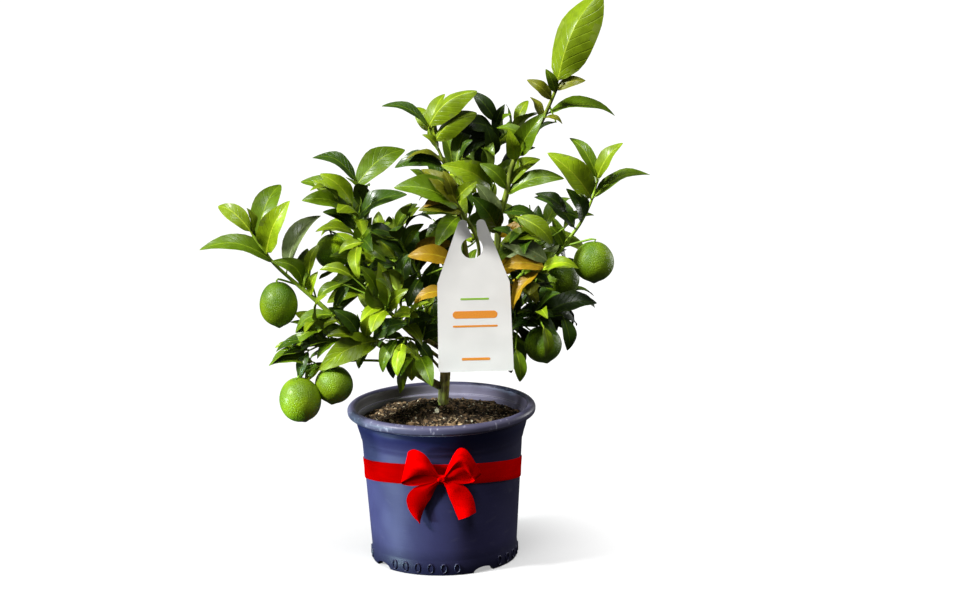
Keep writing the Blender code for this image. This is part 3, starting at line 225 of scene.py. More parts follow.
# Each mass: how strongly it claims the crown round its stem, its side shoots (how many, how long,
# how many leaves on each, and their seed), its placed leaves and its fruit. A placed leaf gives how
# far along the stem it sits, its bearing seen from the front in degrees (0 is +X, 90 is up), how
# far it leans to the front, how far it is turned from facing the front, and its length. A fruit
# gives how far along the stem its stalk starts, its centre, its width and its height
MASSES = {
    "left": (0.035, None, (
        (0.76, 158, 10, 40, 0.086), (1.00, 139, -20, 20, 0.052), (1.00, 93, 5, 60, 0.030),
        (0.94, 70, -15, 20, 0.075), (0.84, 70, 20, 15, 0.070), (0.67, 63, -25, 35, 0.082),
        (0.55, 126, 25, 30, 0.050), (0.52, 88, -30, 20, 0.052), (0.47, 79, 20, 40, 0.033),
        (0.20, 120, 40, 20, 0.040), (0.27, 193, 10, 40, 0.047), (0.18, 200, 20, 40, 0.062),
        (0.27, 65, -20, 20, 0.040), (0.90, 120, -40, 30, 0.040),
    ), ((0.58, (-0.180, -0.040, 0.310), 0.043, 0.051),)),
    "left_low": (0.030, (2, 0.034, 4, 23), (
        (0.12, 199, 20, 10, 0.078), (0.25, 245, 30, 20, 0.038), (0.22, 32, 30, 20, 0.052),
        (0.70, 194, 10, 40, 0.046), (0.90, 182, -10, 50, 0.046), (0.60, 212, 25, 30, 0.036),
        (1.00, 196, 5, 45, 0.046), (1.00, 248, 20, 20, 0.033), (0.40, 120, 25, 30, 0.046),
        (0.80, 150, -25, 40, 0.046), (0.30, 78, 25, 10, 0.038),
    ), ()),
    "fruit_pair": (0.022, None, (
        (0.30, 118, 30, 30, 0.030),
    ), (
        (0.60, (-0.120, -0.060, 0.2205), 0.043, 0.043),
        (1.00, (-0.158, -0.070, 0.2065), 0.047, 0.051),
    )),
    "upper_left": (0.035, (2, 0.034, 5, 47), (
        (1.00, 142, -15, 50, 0.059), (0.95, 41, -10, 20, 0.073), (0.82, 128, 15, 30, 0.054),
        (0.78, 147, -10, 40, 0.068), (0.74, 157, 15, 40, 0.068), (0.63, 139, 25, 30, 0.046),
        (0.58, 166, 10, 45, 0.047), (0.68, 35, 20, 35, 0.074), (0.50, 68, 35, 0, 0.046),
        (0.14, 190, 20, 30, 0.058), (0.28, 20, 20, 30, 0.042), (0.12, 70, 30, 20, 0.044),
        (0.34, 150, 30, 30, 0.044), (0.22, 178, 30, 20, 0.050), (0.32, 204, 25, 20, 0.044),
    ), ((0.46, (-0.119, 0.002, 0.360), 0.040, 0.040),)),
    "mid_left": (0.020, (4, 0.036, 5, 53), (
        (0.40, 20, 30, 30, 0.045), (1.00, 110, 30, 30, 0.050), (0.70, 60, 40, 20, 0.046),
        (0.05, 30, 20, 10, 0.040), (0.04, 85, 15, 10, 0.044),
    ), ()),
    "inner_left": (0.020, (3, 0.034, 5, 67), (
        (0.85, 54, 10, 30, 0.040), (0.75, 170, -10, 40, 0.046), (0.60, 60, 20, 40, 0.040),
        (0.02, 75, 25, 10, 0.048), (0.16, 20, 30, 20, 0.044), (0.08, 288, 45, 20, 0.046),
        (0.10, 200, 35, 20, 0.046), (0.45, 29, 20, 20, 0.054), (0.20, 240, 35, 10, 0.044),
    ), ((0.38, (-0.028, 0.028, 0.358), 0.038, 0.038),)),
    "low_front": (0.015, (2, 0.030, 4, 71), (
        (0.68, 270, 15, 0, 0.048), (0.80, 247, 5, 30, 0.050), (0.96, 238, 20, 30, 0.042),
        (0.76, 262, -20, 40, 0.054), (0.60, 306, 10, 20, 0.036),
    ), ()),
    "top": (0.030, None, (
        (1.00, 151, -10, 55, 0.060), (1.00, 42, 10, 30, 0.070), (0.94, 70, -20, 30, 0.050),
        (0.84, 40, 15, 20, 0.060), (0.76, 130, 20, 30, 0.028), (0.62, 164, 10, 55, 0.044),
        (0.56, 171, 0, 40, 0.058), (0.45, 40, 10, 20, 0.036), (0.02, 207, 10, 20, 0.048),
        (0.08, 172, 15, 20, 0.044), (0.50, 330, 20, 20, 0.040), (0.05, 230, 25, 10, 0.058),
        (0.03, 250, 35, 10, 0.060), (0.30, 190, -20, 30, 0.046),
    ), ()),
    "leader": (0.040, (1, 0.028, 4, 97), (
        (0.99, 66, -5, 20, 0.116), (0.90, 135, 10, 10, 0.036), (0.95, 108, 25, 10, 0.032),
        (0.96, 22, 10, 20, 0.036), (0.80, 359, -10, 50, 0.082), (0.76, 111, -20, 30, 0.032),
        (0.50, 61, 25, 0, 0.064), (0.48, 100, 25, 0, 0.046), (0.32, 42, -15, 30, 0.050),
        (0.26, 22, 10, 35, 0.070), (0.04, 118, 30, 10, 0.062), (0.30, 130, 10, 20, 0.044),
        (0.16, 350, 10, 40, 0.048), (0.02, 10, 20, 20, 0.056), (0.62, 150, 10, 30, 0.040),
    ), ()),
    "top_right": (0.025, (2, 0.032, 5, 101), (
        (1.00, 126, 0, 0, 0.044), (0.96, 70, 20, 10, 0.028), (0.80, 159, 5, 20, 0.052),
        (0.85, 208, 15, 20, 0.044), (0.78, 234, 0, 20, 0.038), (0.20, 143, 20, 20, 0.074),
        (0.60, 100, 20, 10, 0.046), (0.70, 30, -20, 30, 0.044),
    ), ()),
    "front": (0.020, None, (
        (0.60, 154, 10, 25, 0.078), (0.76, 130, 5, 15, 0.056), (0.48, 169, 15, 20, 0.050),
        (1.00, 108, 5, 10, 0.034), (0.88, 46, 15, 10, 0.034), (0.92, 178, 30, 30, 0.036),
    ), ()),
    "right": (0.035, None, (
        (1.00, 119, -15, 20, 0.058), (1.00, 59, 10, 30, 0.052), (0.84, 25, -10, 40, 0.074),
        (0.84, 128, 20, 5, 0.078), (0.66, 107, 25, 30, 0.053), (0.58, 137, -15, 30, 0.061),
        (0.42, 118, 20, 20, 0.032), (0.33, 136, 5, 30, 0.066), (0.34, 92, 10, 30, 0.043),
        (0.90, 80, -40, 30, 0.044), (0.16, 60, 25, 20, 0.044),
    ), ((0.42, (0.175, -0.030, 0.348), 0.046, 0.046),)),
    "right_low": (0.020, (2, 0.032, 5, 131), (
        (0.62, 302, 30, 30, 0.048), (0.10, 60, 35, 20, 0.046), (0.30, 30, 30, 30, 0.050),
        (0.50, 350, -30, 30, 0.060), (0.40, 300, -20, 30, 0.050),
    ), ((0.80, (0.140, 0.004, 0.322), 0.041, 0.041),)),
    "low_right": (0.020, (2, 0.030, 5, 149), (
        (0.35, 283, -10, 20, 0.062), (0.70, 340, 30, 30, 0.046), (0.95, 15, 0, 30, 0.066),
        (1.00, 312, -50, 30, 0.060), (0.02, 120, 10, 20, 0.046), (0.20, 60, 20, 30, 0.044),
        (0.98, 345, -30, 30, 0.054), (0.45, 82, -10, 10, 0.044),
    ), ((0.92, (0.116, -0.042, 0.2570), 0.042, 0.042),)),
    "inner_right": (0.020, (3, 0.030, 5, 151), (
        (0.70, 178, 15, 30, 0.040), (0.20, 230, 25, 30, 0.058), (0.40, 182, 20, 20, 0.056),
        (0.30, 350, 30, 30, 0.036), (0.12, 200, 30, 20, 0.046),
    ), ()),
    "back_left": (0.030, (4, 0.044, 5, 163), (
        (1.00, 130, -30, 30, 0.056), (0.70, 160, -20, 30, 0.056), (0.40, 110, -40, 30, 0.050),
    ), ((0.55, (-0.066, 0.118, 0.290), 0.043, 0.043),)),
    "back_right": (0.030, (4, 0.044, 5, 173), (
        (1.00, 50, -30, 30, 0.056), (0.70, 20, -20, 30, 0.056), (0.40, 80, -40, 30, 0.050),
    ), ((0.50, (0.128, 0.108, 0.308), 0.042, 0.042),)),
    "back_top": (0.030, (4, 0.042, 5, 181), (
        (1.00, 100, -30, 30, 0.056), (0.80, 30, -20, 30, 0.052), (0.60, 150, -30, 30, 0.052),
    ), ()),
    "back_low": (0.030, (4, 0.040, 5, 193), (
        (1.00, 60, -40, 30, 0.052), (0.30, 250, -20, 30, 0.046), (0.90, 160, -40, 30, 0.050),
    ), ((0.70, (0.020, 0.120, 0.234), 0.040, 0.042),)),
}

FOLIAGE = [f"foliage_{name}" for name in MASSES]

# A leaf's shell: where its sections lie along it, and where the points of each lie across it
LEAF_COLUMNS = (-1.0, -0.64, -0.30, -0.06, 0.06, 0.30, 0.64, 1.0)
LEAF_STATIONS = (
    0.0, 0.03, 0.06, 0.08, 0.105, 0.15, 0.22, 0.31, 0.41, 0.51, 0.61, 0.71, 0.80, 0.88, 0.94, 0.98, 1.0,
)
PETIOLE_SHARE = 0.07
PETIOLE_RADIUS = 0.0008
BLADE_THICK = 0.0004
BLADE_FILL = 0.92
# How leaves vary: width, fold, waves along the margin, curl of the tip, twist and arch
BLADE_WIDTHS = (0.94, 1.04)
USUAL_FOLD = (0.16, 0.36)
SHARP_FOLD = (0.44, 0.52)
MARGIN_WAVE = (0.05, 0.16)
MARGIN_BEATS = (1.3, 2.4)
TIP_CURL = (0.05, 0.20)
BLADE_TWIST = 0.42
USUAL_ARCH = 0.18
NARROW_WIDTH = 0.74
# Where the rib is a ridge: the fold and the width are multiplied by these, on placed leaves and others
RIDGED_PLACED = (-1.4, 1.08)
RIDGED_OTHER = (-0.85, 1.06)
RIDGED_SHARE = 0.35
# Each tone of leaf: the colours of its upper side, its rib and its underside, and its roughness
TONES = {
    "bright": ((0.19, 0.29, 0.004), (0.34, 0.42, 0.02), (0.17, 0.24, 0.02), 0.36),
    "fresh": ((0.125, 0.19, 0.003), (0.26, 0.34, 0.015), (0.13, 0.18, 0.015), 0.35),
    "mid": ((0.072, 0.13, 0.002), (0.17, 0.25, 0.010), (0.085, 0.13, 0.012), 0.34),
    "dark": ((0.024, 0.056, 0.002), (0.08, 0.13, 0.006), (0.045, 0.075, 0.008), 0.33),
    # deep is painted shade: a near black green for leaves in shade, the k of the letters below
    "deep": ((0.010, 0.022, 0.002), (0.035, 0.06, 0.004), (0.020, 0.034, 0.004), 0.36),
    "olive": ((0.105, 0.115, 0.003), (0.20, 0.21, 0.015), (0.12, 0.13, 0.02), 0.36),
    "ochre": ((0.26, 0.155, 0.003), (0.38, 0.27, 0.012), (0.24, 0.15, 0.010), 0.42),
    # grey is a glossier leaf whose pale grey cast is painted sheen
    "grey": ((0.100, 0.135, 0.045), (0.18, 0.22, 0.08), (0.13, 0.16, 0.055), 0.30),
}
# The way to the light; by it leaves are painted a tone brighter on the lit side of the crown and a tone
# darker on the far side
LIGHT_SIDE = Vector((-0.62, -0.40, 0.68))
# How the leaves of each mass are shared out among the tones, in the order above
SPRAYS = {
    "left": (1, 4, 5, 1, 0, 0, 0, 0), "left_low": (2, 3, 5, 3, 0, 0, 0, 0),
    "fruit_pair": (1, 3, 5, 1, 0, 0, 0, 0), "upper_left": (2, 3, 5, 3, 0, 0, 0, 0),
    "mid_left": (3, 3, 3, 3, 0, 0, 0, 0), "inner_left": (1, 1, 3, 6, 1, 1, 0, 0),
    "low_front": (2, 3, 4, 4, 0, 0, 0, 0), "top": (1, 2, 3, 5, 1, 1, 0, 0),
    "leader": (1, 3, 5, 2, 0, 1, 0, 0), "top_right": (0, 1, 2, 5, 4, 1, 0, 0),
    "front": (0, 1, 1, 1, 0, 5, 1, 0), "right": (1, 3, 5, 2, 0, 0, 0, 0),
    "right_low": (0, 1, 2, 5, 4, 0, 0, 0), "low_right": (0, 1, 1, 5, 4, 1, 0, 0),
    "inner_right": (0, 1, 2, 5, 1, 2, 1, 0), "back_left": (1, 3, 5, 4, 0, 0, 0, 0),
    "back_right": (1, 3, 5, 4, 0, 0, 0, 0), "back_top": (1, 3, 5, 4, 0, 0, 0, 0),
    "back_low": (1, 2, 5, 4, 0, 0, 0, 0),
}
# The tone of each placed leaf, in the order of the rows; a capital stands for a sharper fold, and
# u for a fresh leaf with its rib as a ridge; n, h and G are mid, dark and grey leaves seen narrow,
# and a is a mid leaf that arches high
TONE_LETTERS = {
    "b": "bright", "f": "fresh", "m": "mid", "d": "dark", "k": "deep", "o": "olive", "y": "ochre",
    "g": "grey", "u": "fresh", "n": "mid", "h": "dark", "a": "mid",
}
ARCHES = {"U": 0.32, "a": 0.95}
NARROW_LETTERS = ("n", "h", "G")
PLACED_TONES = {
    "left": "nffmBGambdmmmm", "left_low": "fmdmdmmddmb", "fruit_pair": "m",
    "upper_left": "dmbmmdfdmfdbmmm", "mid_left": "dmfdd", "inner_left": "mdmddddyd",
    "low_front": "fdmfd", "top": "hUfUfodfmmfmdd", "leader": "UomonoMbfndmdym",
    "top_right": "kkKkkbkf", "front": "Mooofy", "right": "nfnBddmmmmg",
    "right_low": "dkdkk", "low_right": "mdkkddkd", "inner_right": "yyydd",
    "back_left": "mfm", "back_right": "mfm", "back_top": "mfm", "back_low": "mfm",
}
# Further single leaves, given as the placed leaves are, with their tone
MORE_LEAVES = {
    "upper_left": ((0.50, 266, 30, 25, 0.046, "b"), (0.20, 215, 30, 25, 0.044, "m")),
    "mid_left": (
        (0.95, 350, 35, 30, 0.034, "b"), (0.60, 12, 40, 30, 0.038, "b"), (0.80, 200, 35, 30, 0.040, "b"),
        (0.50, 330, 40, 30, 0.040, "f"), (0.98, 40, 30, 30, 0.038, "f"),
    ),
    "inner_left": ((0.02, 194, 20, 35, 0.028, "y"),),
    "leader": ((0.10, 116, 12, 8, 0.054, "g"),),
    "right": (
        (0.16, 10, 25, 25, 0.040, "b"), (0.16, 222, 25, 20, 0.050, "y"), (0.14, 156, 5, 30, 0.048, "g"),
    ),
    "top": ((0.60, 10, 20, 20, 0.040, "d"),),
    "top_right": ((0.90, 165, 20, 20, 0.050, "k"), (0.30, 40, 10, 20, 0.044, "m")),
}
# Single leaves on twigs of their own: how far along the stem the twig starts, where the leaf starts,
# its bearing, its turn, its length and its tone; all lean a little to the front
TWIG_LEAN = 5
TWIG_LEAVES = {
    "inner_right": (
        (0.30, (0.120, -0.066, 0.349), 172, 15, 0.050, "y"),
        (0.35, (0.1235, -0.060, 0.354), 154, 15, 0.058, "g"),
        (0.60, (0.122, -0.058, 0.379), 177, 35, 0.053, "f"),
        (0.70, (0.087, -0.054, 0.406), 325, 25, 0.052, "f"),
        (0.25, (0.114, -0.069, 0.3475), 232, 48, 0.055, "y"),
        (0.28, (0.113, -0.067, 0.3465), 11, 38, 0.043, "b"),
    ),
    "inner_left": ((0.20, (0.020, -0.062, 0.357), 167, 12, 0.054, "y"),),
    "mid_left": (
        (0.50, (0.0147, -0.060, 0.321), 186, 40, 0.044, "y"),
        (0.98, (-0.1067, -0.052, 0.3336), 208, 30, 0.036, "m"),
        (0.95, (-0.0963, -0.056, 0.3421), 159, 30, 0.037, "f"),
    ),
    "upper_left": ((0.57, (-0.0818, -0.056, 0.3805), 196, 25, 0.031, "f"),),
    "left": (
        (0.30, (-0.1154, -0.050, 0.3070), 60, 20, 0.030, "d"),
        (0.28, (-0.1165, -0.058, 0.2985), 192, 45, 0.048, "m"),
        (0.42, (-0.1446, -0.042, 0.3449), 75, 25, 0.034, "f"),
    ),
    "left_low": (
        (0.58, (-0.1098, -0.062, 0.2947), 204, 40, 0.036, "f"),
        (0.72, (-0.1281, -0.060, 0.2843), 203, 40, 0.043, "m"),
        (0.98, (-0.1613, -0.056, 0.2624), 172, 35, 0.024, "f"),
    ),
    "fruit_pair": (
        (0.97, (-0.1405, -0.060, 0.2455), 176, 30, 0.052, "m"),
        (0.99, (-0.1440, -0.056, 0.2435), 226, 30, 0.026, "d"),
        (0.80, (-0.1293, -0.058, 0.2459), 223, 20, 0.033, "f"),
    ),
    "leader": (
        (0.80, (0.1222, -0.014, 0.5097), 347, 50, 0.022, "o"),
        (0.86, (0.1358, -0.008, 0.5039), 213, 55, 0.032, "k"),
    ),
    "right": ((0.67, (0.1457, -0.030, 0.4041), 143, 20, 0.042, "k"),),
    "low_right": (
        (0.98, (0.1378, -0.046, 0.2908), 282, 25, 0.042, "d"),
        (0.90, (0.1149, -0.084, 0.2874), 278, 35, 0.036, "f"),
        (0.55, (0.0840, -0.070, 0.2594), 278, 20, 0.039, "m"),
    ),
}
# Places in the plane through the trunk where the front view shows sky: across, height, reach
OPENINGS = (
    (-0.050, 0.415, 0.018), (-0.021, 0.429, 0.012), (0.105, 0.415, 0.012), (0.123, 0.394, 0.008),
    (0.011, 0.383, 0.010), (0.079, 0.470, 0.008), (0.015, 0.474, 0.008), (-0.104, 0.304, 0.008),
    (0.053, 0.378, 0.010), (0.107, 0.415, 0.010), (-0.014, 0.410, 0.009), (0.022, 0.381, 0.010),
    (0.097, 0.387, 0.008), (-0.023, 0.492, 0.012), (0.099, 0.426, 0.012), (0.128, 0.377, 0.011),
    (0.134, 0.386, 0.009), (0.111, 0.407, 0.010), (0.127, 0.408, 0.012), (-0.132, 0.395, 0.008),
    (-0.093, 0.298, 0.008),
)
# Masses whose fruit shows from the front, so no small leaf hangs before it
SEEN_FRUIT = ("right_low", "upper_left", "inner_left", "low_right")
# Masses whose fruit stands in full light, and the way to that light
LIT_FRUIT = ("upper_left", "left")
KEY_SIDE = Vector((-0.85, -0.36, 0.68)).normalized()
# How far from a fruit's middle small leaves keep out of its view, as a share of its width
FRUIT_VIEW = 0.56
# Where small leaves throw no shadow on the tag: across, and this far below its lower edge
TAG_FREE_X = (-0.010, 0.090)
TAG_FREE_PAST = 0.005
# Finer shoots inside the masses: how many, how long, how many leaves on each, and their seed
FINE_SHOOTS = {
    "left_low": (2, 0.024, 3, 301), "upper_left": (5, 0.026, 3, 302), "mid_left": (9, 0.034, 4, 303),
    "inner_left": (8, 0.034, 4, 304), "low_front": (6, 0.028, 4, 305), "top": (3, 0.026, 3, 306),
    "top_right": (4, 0.026, 3, 307), "right_low": (7, 0.032, 4, 308), "low_right": (7, 0.030, 4, 309),
    "inner_right": (7, 0.032, 4, 310), "back_left": (9, 0.038, 5, 311), "back_right": (10, 0.038, 5, 312),
    "back_top": (9, 0.038, 5, 313), "back_low": (9, 0.036, 5, 314),
}

# Stems that look thicker than their solids, and by how much
STOUT_STEMS = {"leader": 1.40, "left": 1.40, "right": 1.25, "top": 1.20}
TRUNK_WIDEST = 0.0062
TRUNK_SUNK = 0.003
STEM_TIP = 0.4
BARK_GRAIN = 400.0
TWIG_RADII = (0.0012, 0.0007)
FRUIT_STALK_RADII = (0.0013, 0.0012)
# How far along its stem the old bark turns olive, and the olive bark turns green
USUAL_WOOD_SHARES = (0.18, 0.42)
WOOD_SHARES = {
    "leader": (0.12, 1.00), "front": (0.30, 1.00), "left": (0.12, 0.34), "top": (0.55, 0.90),
    "right": (0.15, 0.34), "low_front": (0.70, 0.90), "mid_left": (0.60, 0.80),
}

# Which of the skins the limes of a mass have, where it isn't the first, and how far they lean
# The second skin is darker, painted shade for fruit inside the crown; the fourth is paler, painted light
# for a lime in the shade of leaves
LIME_SKINS = {"inner_left": 1, "back_low": 1, "upper_left": 3}
LIME_LEAN = 14
LIME_RINGS, LIME_SIDES = 29, 40
# The cap on a lime: the height and reach of each of its rings, and where on the lime it sits
CAP_RINGS = ((0.0012, 0.0010), (0.0010, 0.0026), (-0.0012, 0.0030))
CAP_LEVEL = 0.468
# A lime's shape: how much it narrows towards the stalk, how much longer it is at the nipple and how
# much shorter at the stalk, both with their reach in radians, and how uneven it is
LIME_TAPER = 0.04
LIME_NIPPLE = (0.045, 0.16)
LIME_DIMPLE = (0.030, 0.22)
LIME_SWELL = 0.012

# Colours of the pot: its wall, a painted shadow under the rim, painted shade at the foot, the rim's two
# lighter greys (part dust, part painted sheen), and its inside
POT_COLOUR = (0.022, 0.0205, 0.061)
POT_RIM_PAINTED_SHADOW = (0.008, 0.0085, 0.045)
POT_FOOT = (0.007, 0.007, 0.024)
RIM_DARK = (0.038, 0.036, 0.072)
RIM_LIGHT = (0.088, 0.083, 0.128)
# The inside: grey on the left as painted shade, lighter and bluer on the right as painted light
INSIDE_LEFT_PAINTED_SHADE = (0.100, 0.099, 0.100)
INSIDE_RIGHT_PAINTED_LIGHT = (0.250, 0.240, 0.360)
# A pale painted highlight on the ledge inside
INSIDE_LEDGE_PAINTED_HIGHLIGHT = (0.40, 0.39, 0.50)

# Loose bits on the soil: how many, smallest and largest half length, how flat, colour
CHIPS = {
    "peat": (1200, 0.0008, 0.0030, 0.8, (0.016, 0.011, 0.006)),
    "bark": (900, 0.0010, 0.0046, 0.65, (0.155, 0.102, 0.052)),
    "straw": (340, 0.0007, 0.0032, 0.40, (0.36, 0.28, 0.16)),
    "perlite": (240, 0.0005, 0.0018, 0.9, (0.66, 0.62, 0.44)),
}
CHIPS_REACH = 0.0905
# The larger lumps that the photograph shows: x, y, half length
CHIPS_SEEN = {
    "perlite": ((-0.0052, -0.0300, 0.0040), (-0.0700, -0.0300, 0.0024), (0.0340, -0.0420, 0.0022)),
    "straw": ((-0.0560, -0.0350, 0.0050), (0.0550, -0.0350, 0.0050), (0.0200, -0.0560, 0.0040)),
    "bark": ((-0.0350, -0.0500, 0.0065), (0.0100, -0.0600, 0.0060), (0.0450, -0.0450, 0.0060)),
}

# The bow's sheets: both edges of each, as (across, out from the pot, up) in mm from the knot
LEFT_LOOP = (
    ((-3, 5.4, 0), (-11, 7.2, 4.6), (-20, 8.6, 6.6), (-30, 8.8, 5.2), (-39, 7, 0.4), (-45, 4.4, -4.0),
     (-41, 3.2, -7.2), (-30, 4.0, -8.2), (-17, 4.6, -6.0), (-3, 4.4, -2.6)),
    ((-3, 5.4, 2.8), (-9.5, 7.0, 16.5), (-16.5, 8.4, 28.5), (-24, 8.4, 34.4), (-31, 7.0, 36.0),
     (-36.6, 4.4, 32.0), (-33, 1.6, 27), (-22, 1.2, 20), (-12, 1.4, 11), (-3, 3, 1)),
)
RIGHT_LOOP = (
    ((3, 5.4, 0), (9, 6.8, 6.0), (16, 8.2, 12.0), (24, 9.0, 13.6), (31, 8.4, 6.0), (37, 6.4, -2.6),
     (32, 4.4, -6.0), (23, 4.4, -7.0), (13, 4.4, -5.0), (3, 4.4, -2.6)),
    ((3, 5.4, 2.8), (8, 7.0, 15), (14.5, 8.4, 29), (21, 8.6, 36.6), (29, 8.2, 34.0), (38, 6.8, 19),
     (44.6, 4.6, 4.0), (40, 1.8, 8.0), (30, 1.2, 14.0), (20, 1.2, 14.5), (11, 1.6, 8.0), (3, 3.4, 1)),
)
LEFT_TAIL = (
    ((-2, 3.4, -1), (-20, 2.8, -6.4), (-32, 2.0, -12), (-39, 1.4, -22), (-38.6, 1.2, -33),
     (-33, 1.2, -45), (-25.8, 1.2, -53)),
    ((-1.5, 3.4, -4), (-7, 3.0, -12), (-12, 2.4, -23), (-17.4, 1.8, -31.5), (-21.4, 1.4, -40),
     (-23.8, 1.2, -47), (-25.2, 1.2, -53.6)),
)
RIGHT_TAIL = (
    ((1.5, 3.4, -4), (5.4, 3.0, -13), (8.6, 2.4, -24), (12.4, 1.8, -34), (15.6, 1.4, -43),
     (18.4, 1.2, -51)),
    ((3, 3.4, -1), (18, 3.2, -5.4), (27, 2.6, -11.5), (33, 2.0, -20), (36.4, 1.4, -30),
     (38, 1.2, -42.4)),
)
LOOP_BACK_Y = -0.0918
LOOP_LEAN = math.radians(5.2)
SHEET_THICK = 0.0005
# How far the sheets puff out, and how deep their creases are
LOOP_BULGE, LOOP_CREASE = 0.0042, 0.0012
TAIL_BULGE, LEFT_TAIL_CREASE, RIGHT_TAIL_CREASE = 0.0036, 0.0010, 0.0008
# The red of each ribbon towards the left and towards the right; the right is lighter as painted light
# that evens out the lamps from the left, and the third, for the left tail, is darker as painted shade
SATIN = ((0.50, 0.0, 0.0), (0.62, 0.0, 0.0))
SATIN_BAND = ((0.200, 0.0, 0.0), (0.62, 0.0, 0.0))
SATIN_PAINTED_SHADE = ((0.30, 0.0, 0.0), (0.44, 0.0, 0.0))
# Where across and along a loop its dent lies, and how wide and long that is
DENT = (0.62, 0.16, 0.34, 0.10)

# The tag's card and print
CARD_COLOUR = (0.65, 0.645, 0.61)
CARD_CLOUDS = ((0.618, 0.61, 0.585), (0.676, 0.667, 0.637))
PRINT_PROUD = 0.00012
PRINT_SUNK = 0.00005
TAG_INKS = {"print_orange": (0.64, 0.235, 0.030), "print_green": (0.23, 0.41, 0.045)}
# Printed bars on the tag: bottom, height, half length, and which of the inks
TAG_BARS = (
    (0.3170, 0.0022, 0.0160, 1), (0.2960, 0.0085, 0.0250, 0), (0.2860, 0.0022, 0.0250, 0),
    (0.2480, 0.0030, 0.0160, 0),
)

# The floor's own colour and its glow, by the pot and further out, and where one fades to the other; the
# lower glow by the pot is a painted shadow round its foot
FLOOR_NEAR, FLOOR_FAR = (0.28, 0.28, 0.28), (0.05, 0.05, 0.05)
GLOW_NEAR_PAINTED_SHADOW, GLOW_FAR = (0.40, 0.40, 0.40), (0.99, 0.99, 0.99)
FLOOR_FADE = (0.078, 0.215)
FLOOR_RADIUS = 16.0
FLOOR_DROP = 0.0002
# Lights: name, kind, strength, size (degrees across for a sun), place, aim
LIGHTS = (
    ("key", "SUN", 7.9, 9.0, (-0.85, -0.36, 0.68), (0.0, 0.0, 0.0)),
    ("top", "SUN", 2.6, 22.0, (0.10, -0.50, 1.30), (0.0, 0.0, 0.0)),
    ("pot_side", "SPOT", 380.0, 0.14, (-1.30, -0.36, 0.10), (-0.03, 0.0, 0.068)),
    ("edge", "AREA", 4.0, 0.40, (0.90, 0.55, 0.35), (0.05, 0.0, 0.15)),
)
SPOT_CONE = math.radians(12)
SPOT_BLEND = 0.6
SPOT_COLOUR = (0.68, 1.0, 1.0)
# The world's grey by height, from the horizon up
WORLD_GREYS = ((0.0, 0.05), (0.012, 0.41), (0.35, 0.14))


class Route:
    """A smooth line through a few points, read by the distance along it."""

    PER_SPAN = 10

    def __init__(self, corners):
        corners = [Vector(corner) for corner in corners]
        padded = [2 * corners[0] - corners[1]] + corners + [2 * corners[-1] - corners[-2]]
        self.points = [corners[0]]
        for before, start, end, after in zip(padded, padded[1:], padded[2:], padded[3:]):
            for step in range(1, self.PER_SPAN + 1):
                self.points.append(spline_point(before, start, end, after, step / self.PER_SPAN))
        self.along = [0.0]
        for first, second in zip(self.points, self.points[1:]):
            self.along.append(self.along[-1] + (second - first).length)
        self.length = self.along[-1]

    def at(self, distance):
        """The point this far along; past either end it goes straight on."""
        index = 1
        while index < len(self.along) - 1 and self.along[index] < distance:
            index += 1
        span = self.along[index] - self.along[index - 1]
        share = (distance - self.along[index - 1]) / span
        return self.points[index - 1].lerp(self.points[index], share)

    def marks(self, count):
        """The distances that split the line into this many equal parts."""
        return [self.length * i / count for i in range(count + 1)]

    def spaced(self, count):
        return [self.at(distance) for distance in self.marks(count)]

    def heading(self, distance):
        """The unit direction of travel this far along."""
        reach = 0.002
        return (self.at(distance + reach) - self.at(distance - reach)).normalized()

    def distance_at_height(self, height):
        """How far along the line first reaches this height."""
        for index, point in enumerate(self.points):
            if point.z >= height:
                return self.along[index]
        return self.length

    def stretch(self, start, end, step):
        """Points from one distance to another, with a short straight run at both ends."""
        run = 0.002
        count = max(1, round((end - start) / step))
        inner = [self.at(start + (end - start) * i / count) for i in range(1, count)]
        first = self.at(start)
        last = self.at(end)
        straight_in = first + self.heading(start) * run
        straight_out = last - self.heading(end) * run
        return [first, straight_in] + inner + [straight_out, last]


def spline_point(before, start, end, after, share):
    """One point of a Catmull-Rom curve between start and end."""
    square = share * share
    cube = square * share
    return 0.5 * (
        2 * start
        + (end - before) * share
        + (2 * before - 5 * start + 4 * end - after) * square
        + (3 * start - before - 3 * end + after) * cube
    )


def taper(count, start, end):
    return [start + (end - start) * i / (count - 1) for i in range(count)]


class Limb:
    """A bough and the stem of its mass of foliage, along one route."""

    def __init__(self, name, parent, height, root_radius, end_radius, split, line):
        from_distance = parent.route.distance_at_height(height)
        root = parent.route.at(from_distance)
        self.name = name
        self.route = Route([root] + list(line))
        self.radii = (root_radius, end_radius)
        heading = self.route.heading(0.003)
        slope = heading.angle(parent.route.heading(from_distance))
        reach = parent.radius(from_distance) + GAP + root_radius * abs(math.cos(slope))
        self.start = min(reach / math.sin(slope), 0.030)
        if parent.name == "trunk" and from_distance >= parent.route.length - 0.0005:
            self.start = 2 * GAP
        self.split = self.route.length * split

    def radius(self, distance):
        share = min(max(distance / self.route.length, 0.0), 1.0)
        return self.radii[0] + (self.radii[1] - self.radii[0]) * share

    def bough(self):
        """The bough's points and radii, up to just short of the foliage."""
        points = self.route.stretch(self.start, self.split - GAP / 2, LIMB_STEP)
        return points, taper(len(points), self.radius(self.start), self.radius(self.split))

    def stem(self):
        """The points and radii of the stem that carries the foliage."""
        points = self.route.stretch(self.split + GAP / 2, self.route.length, LIMB_STEP)
        return points, taper(len(points), self.radius(self.split), self.radii[1])

    def stem_distance(self, share):
        return self.split + (self.route.length - self.split) * share


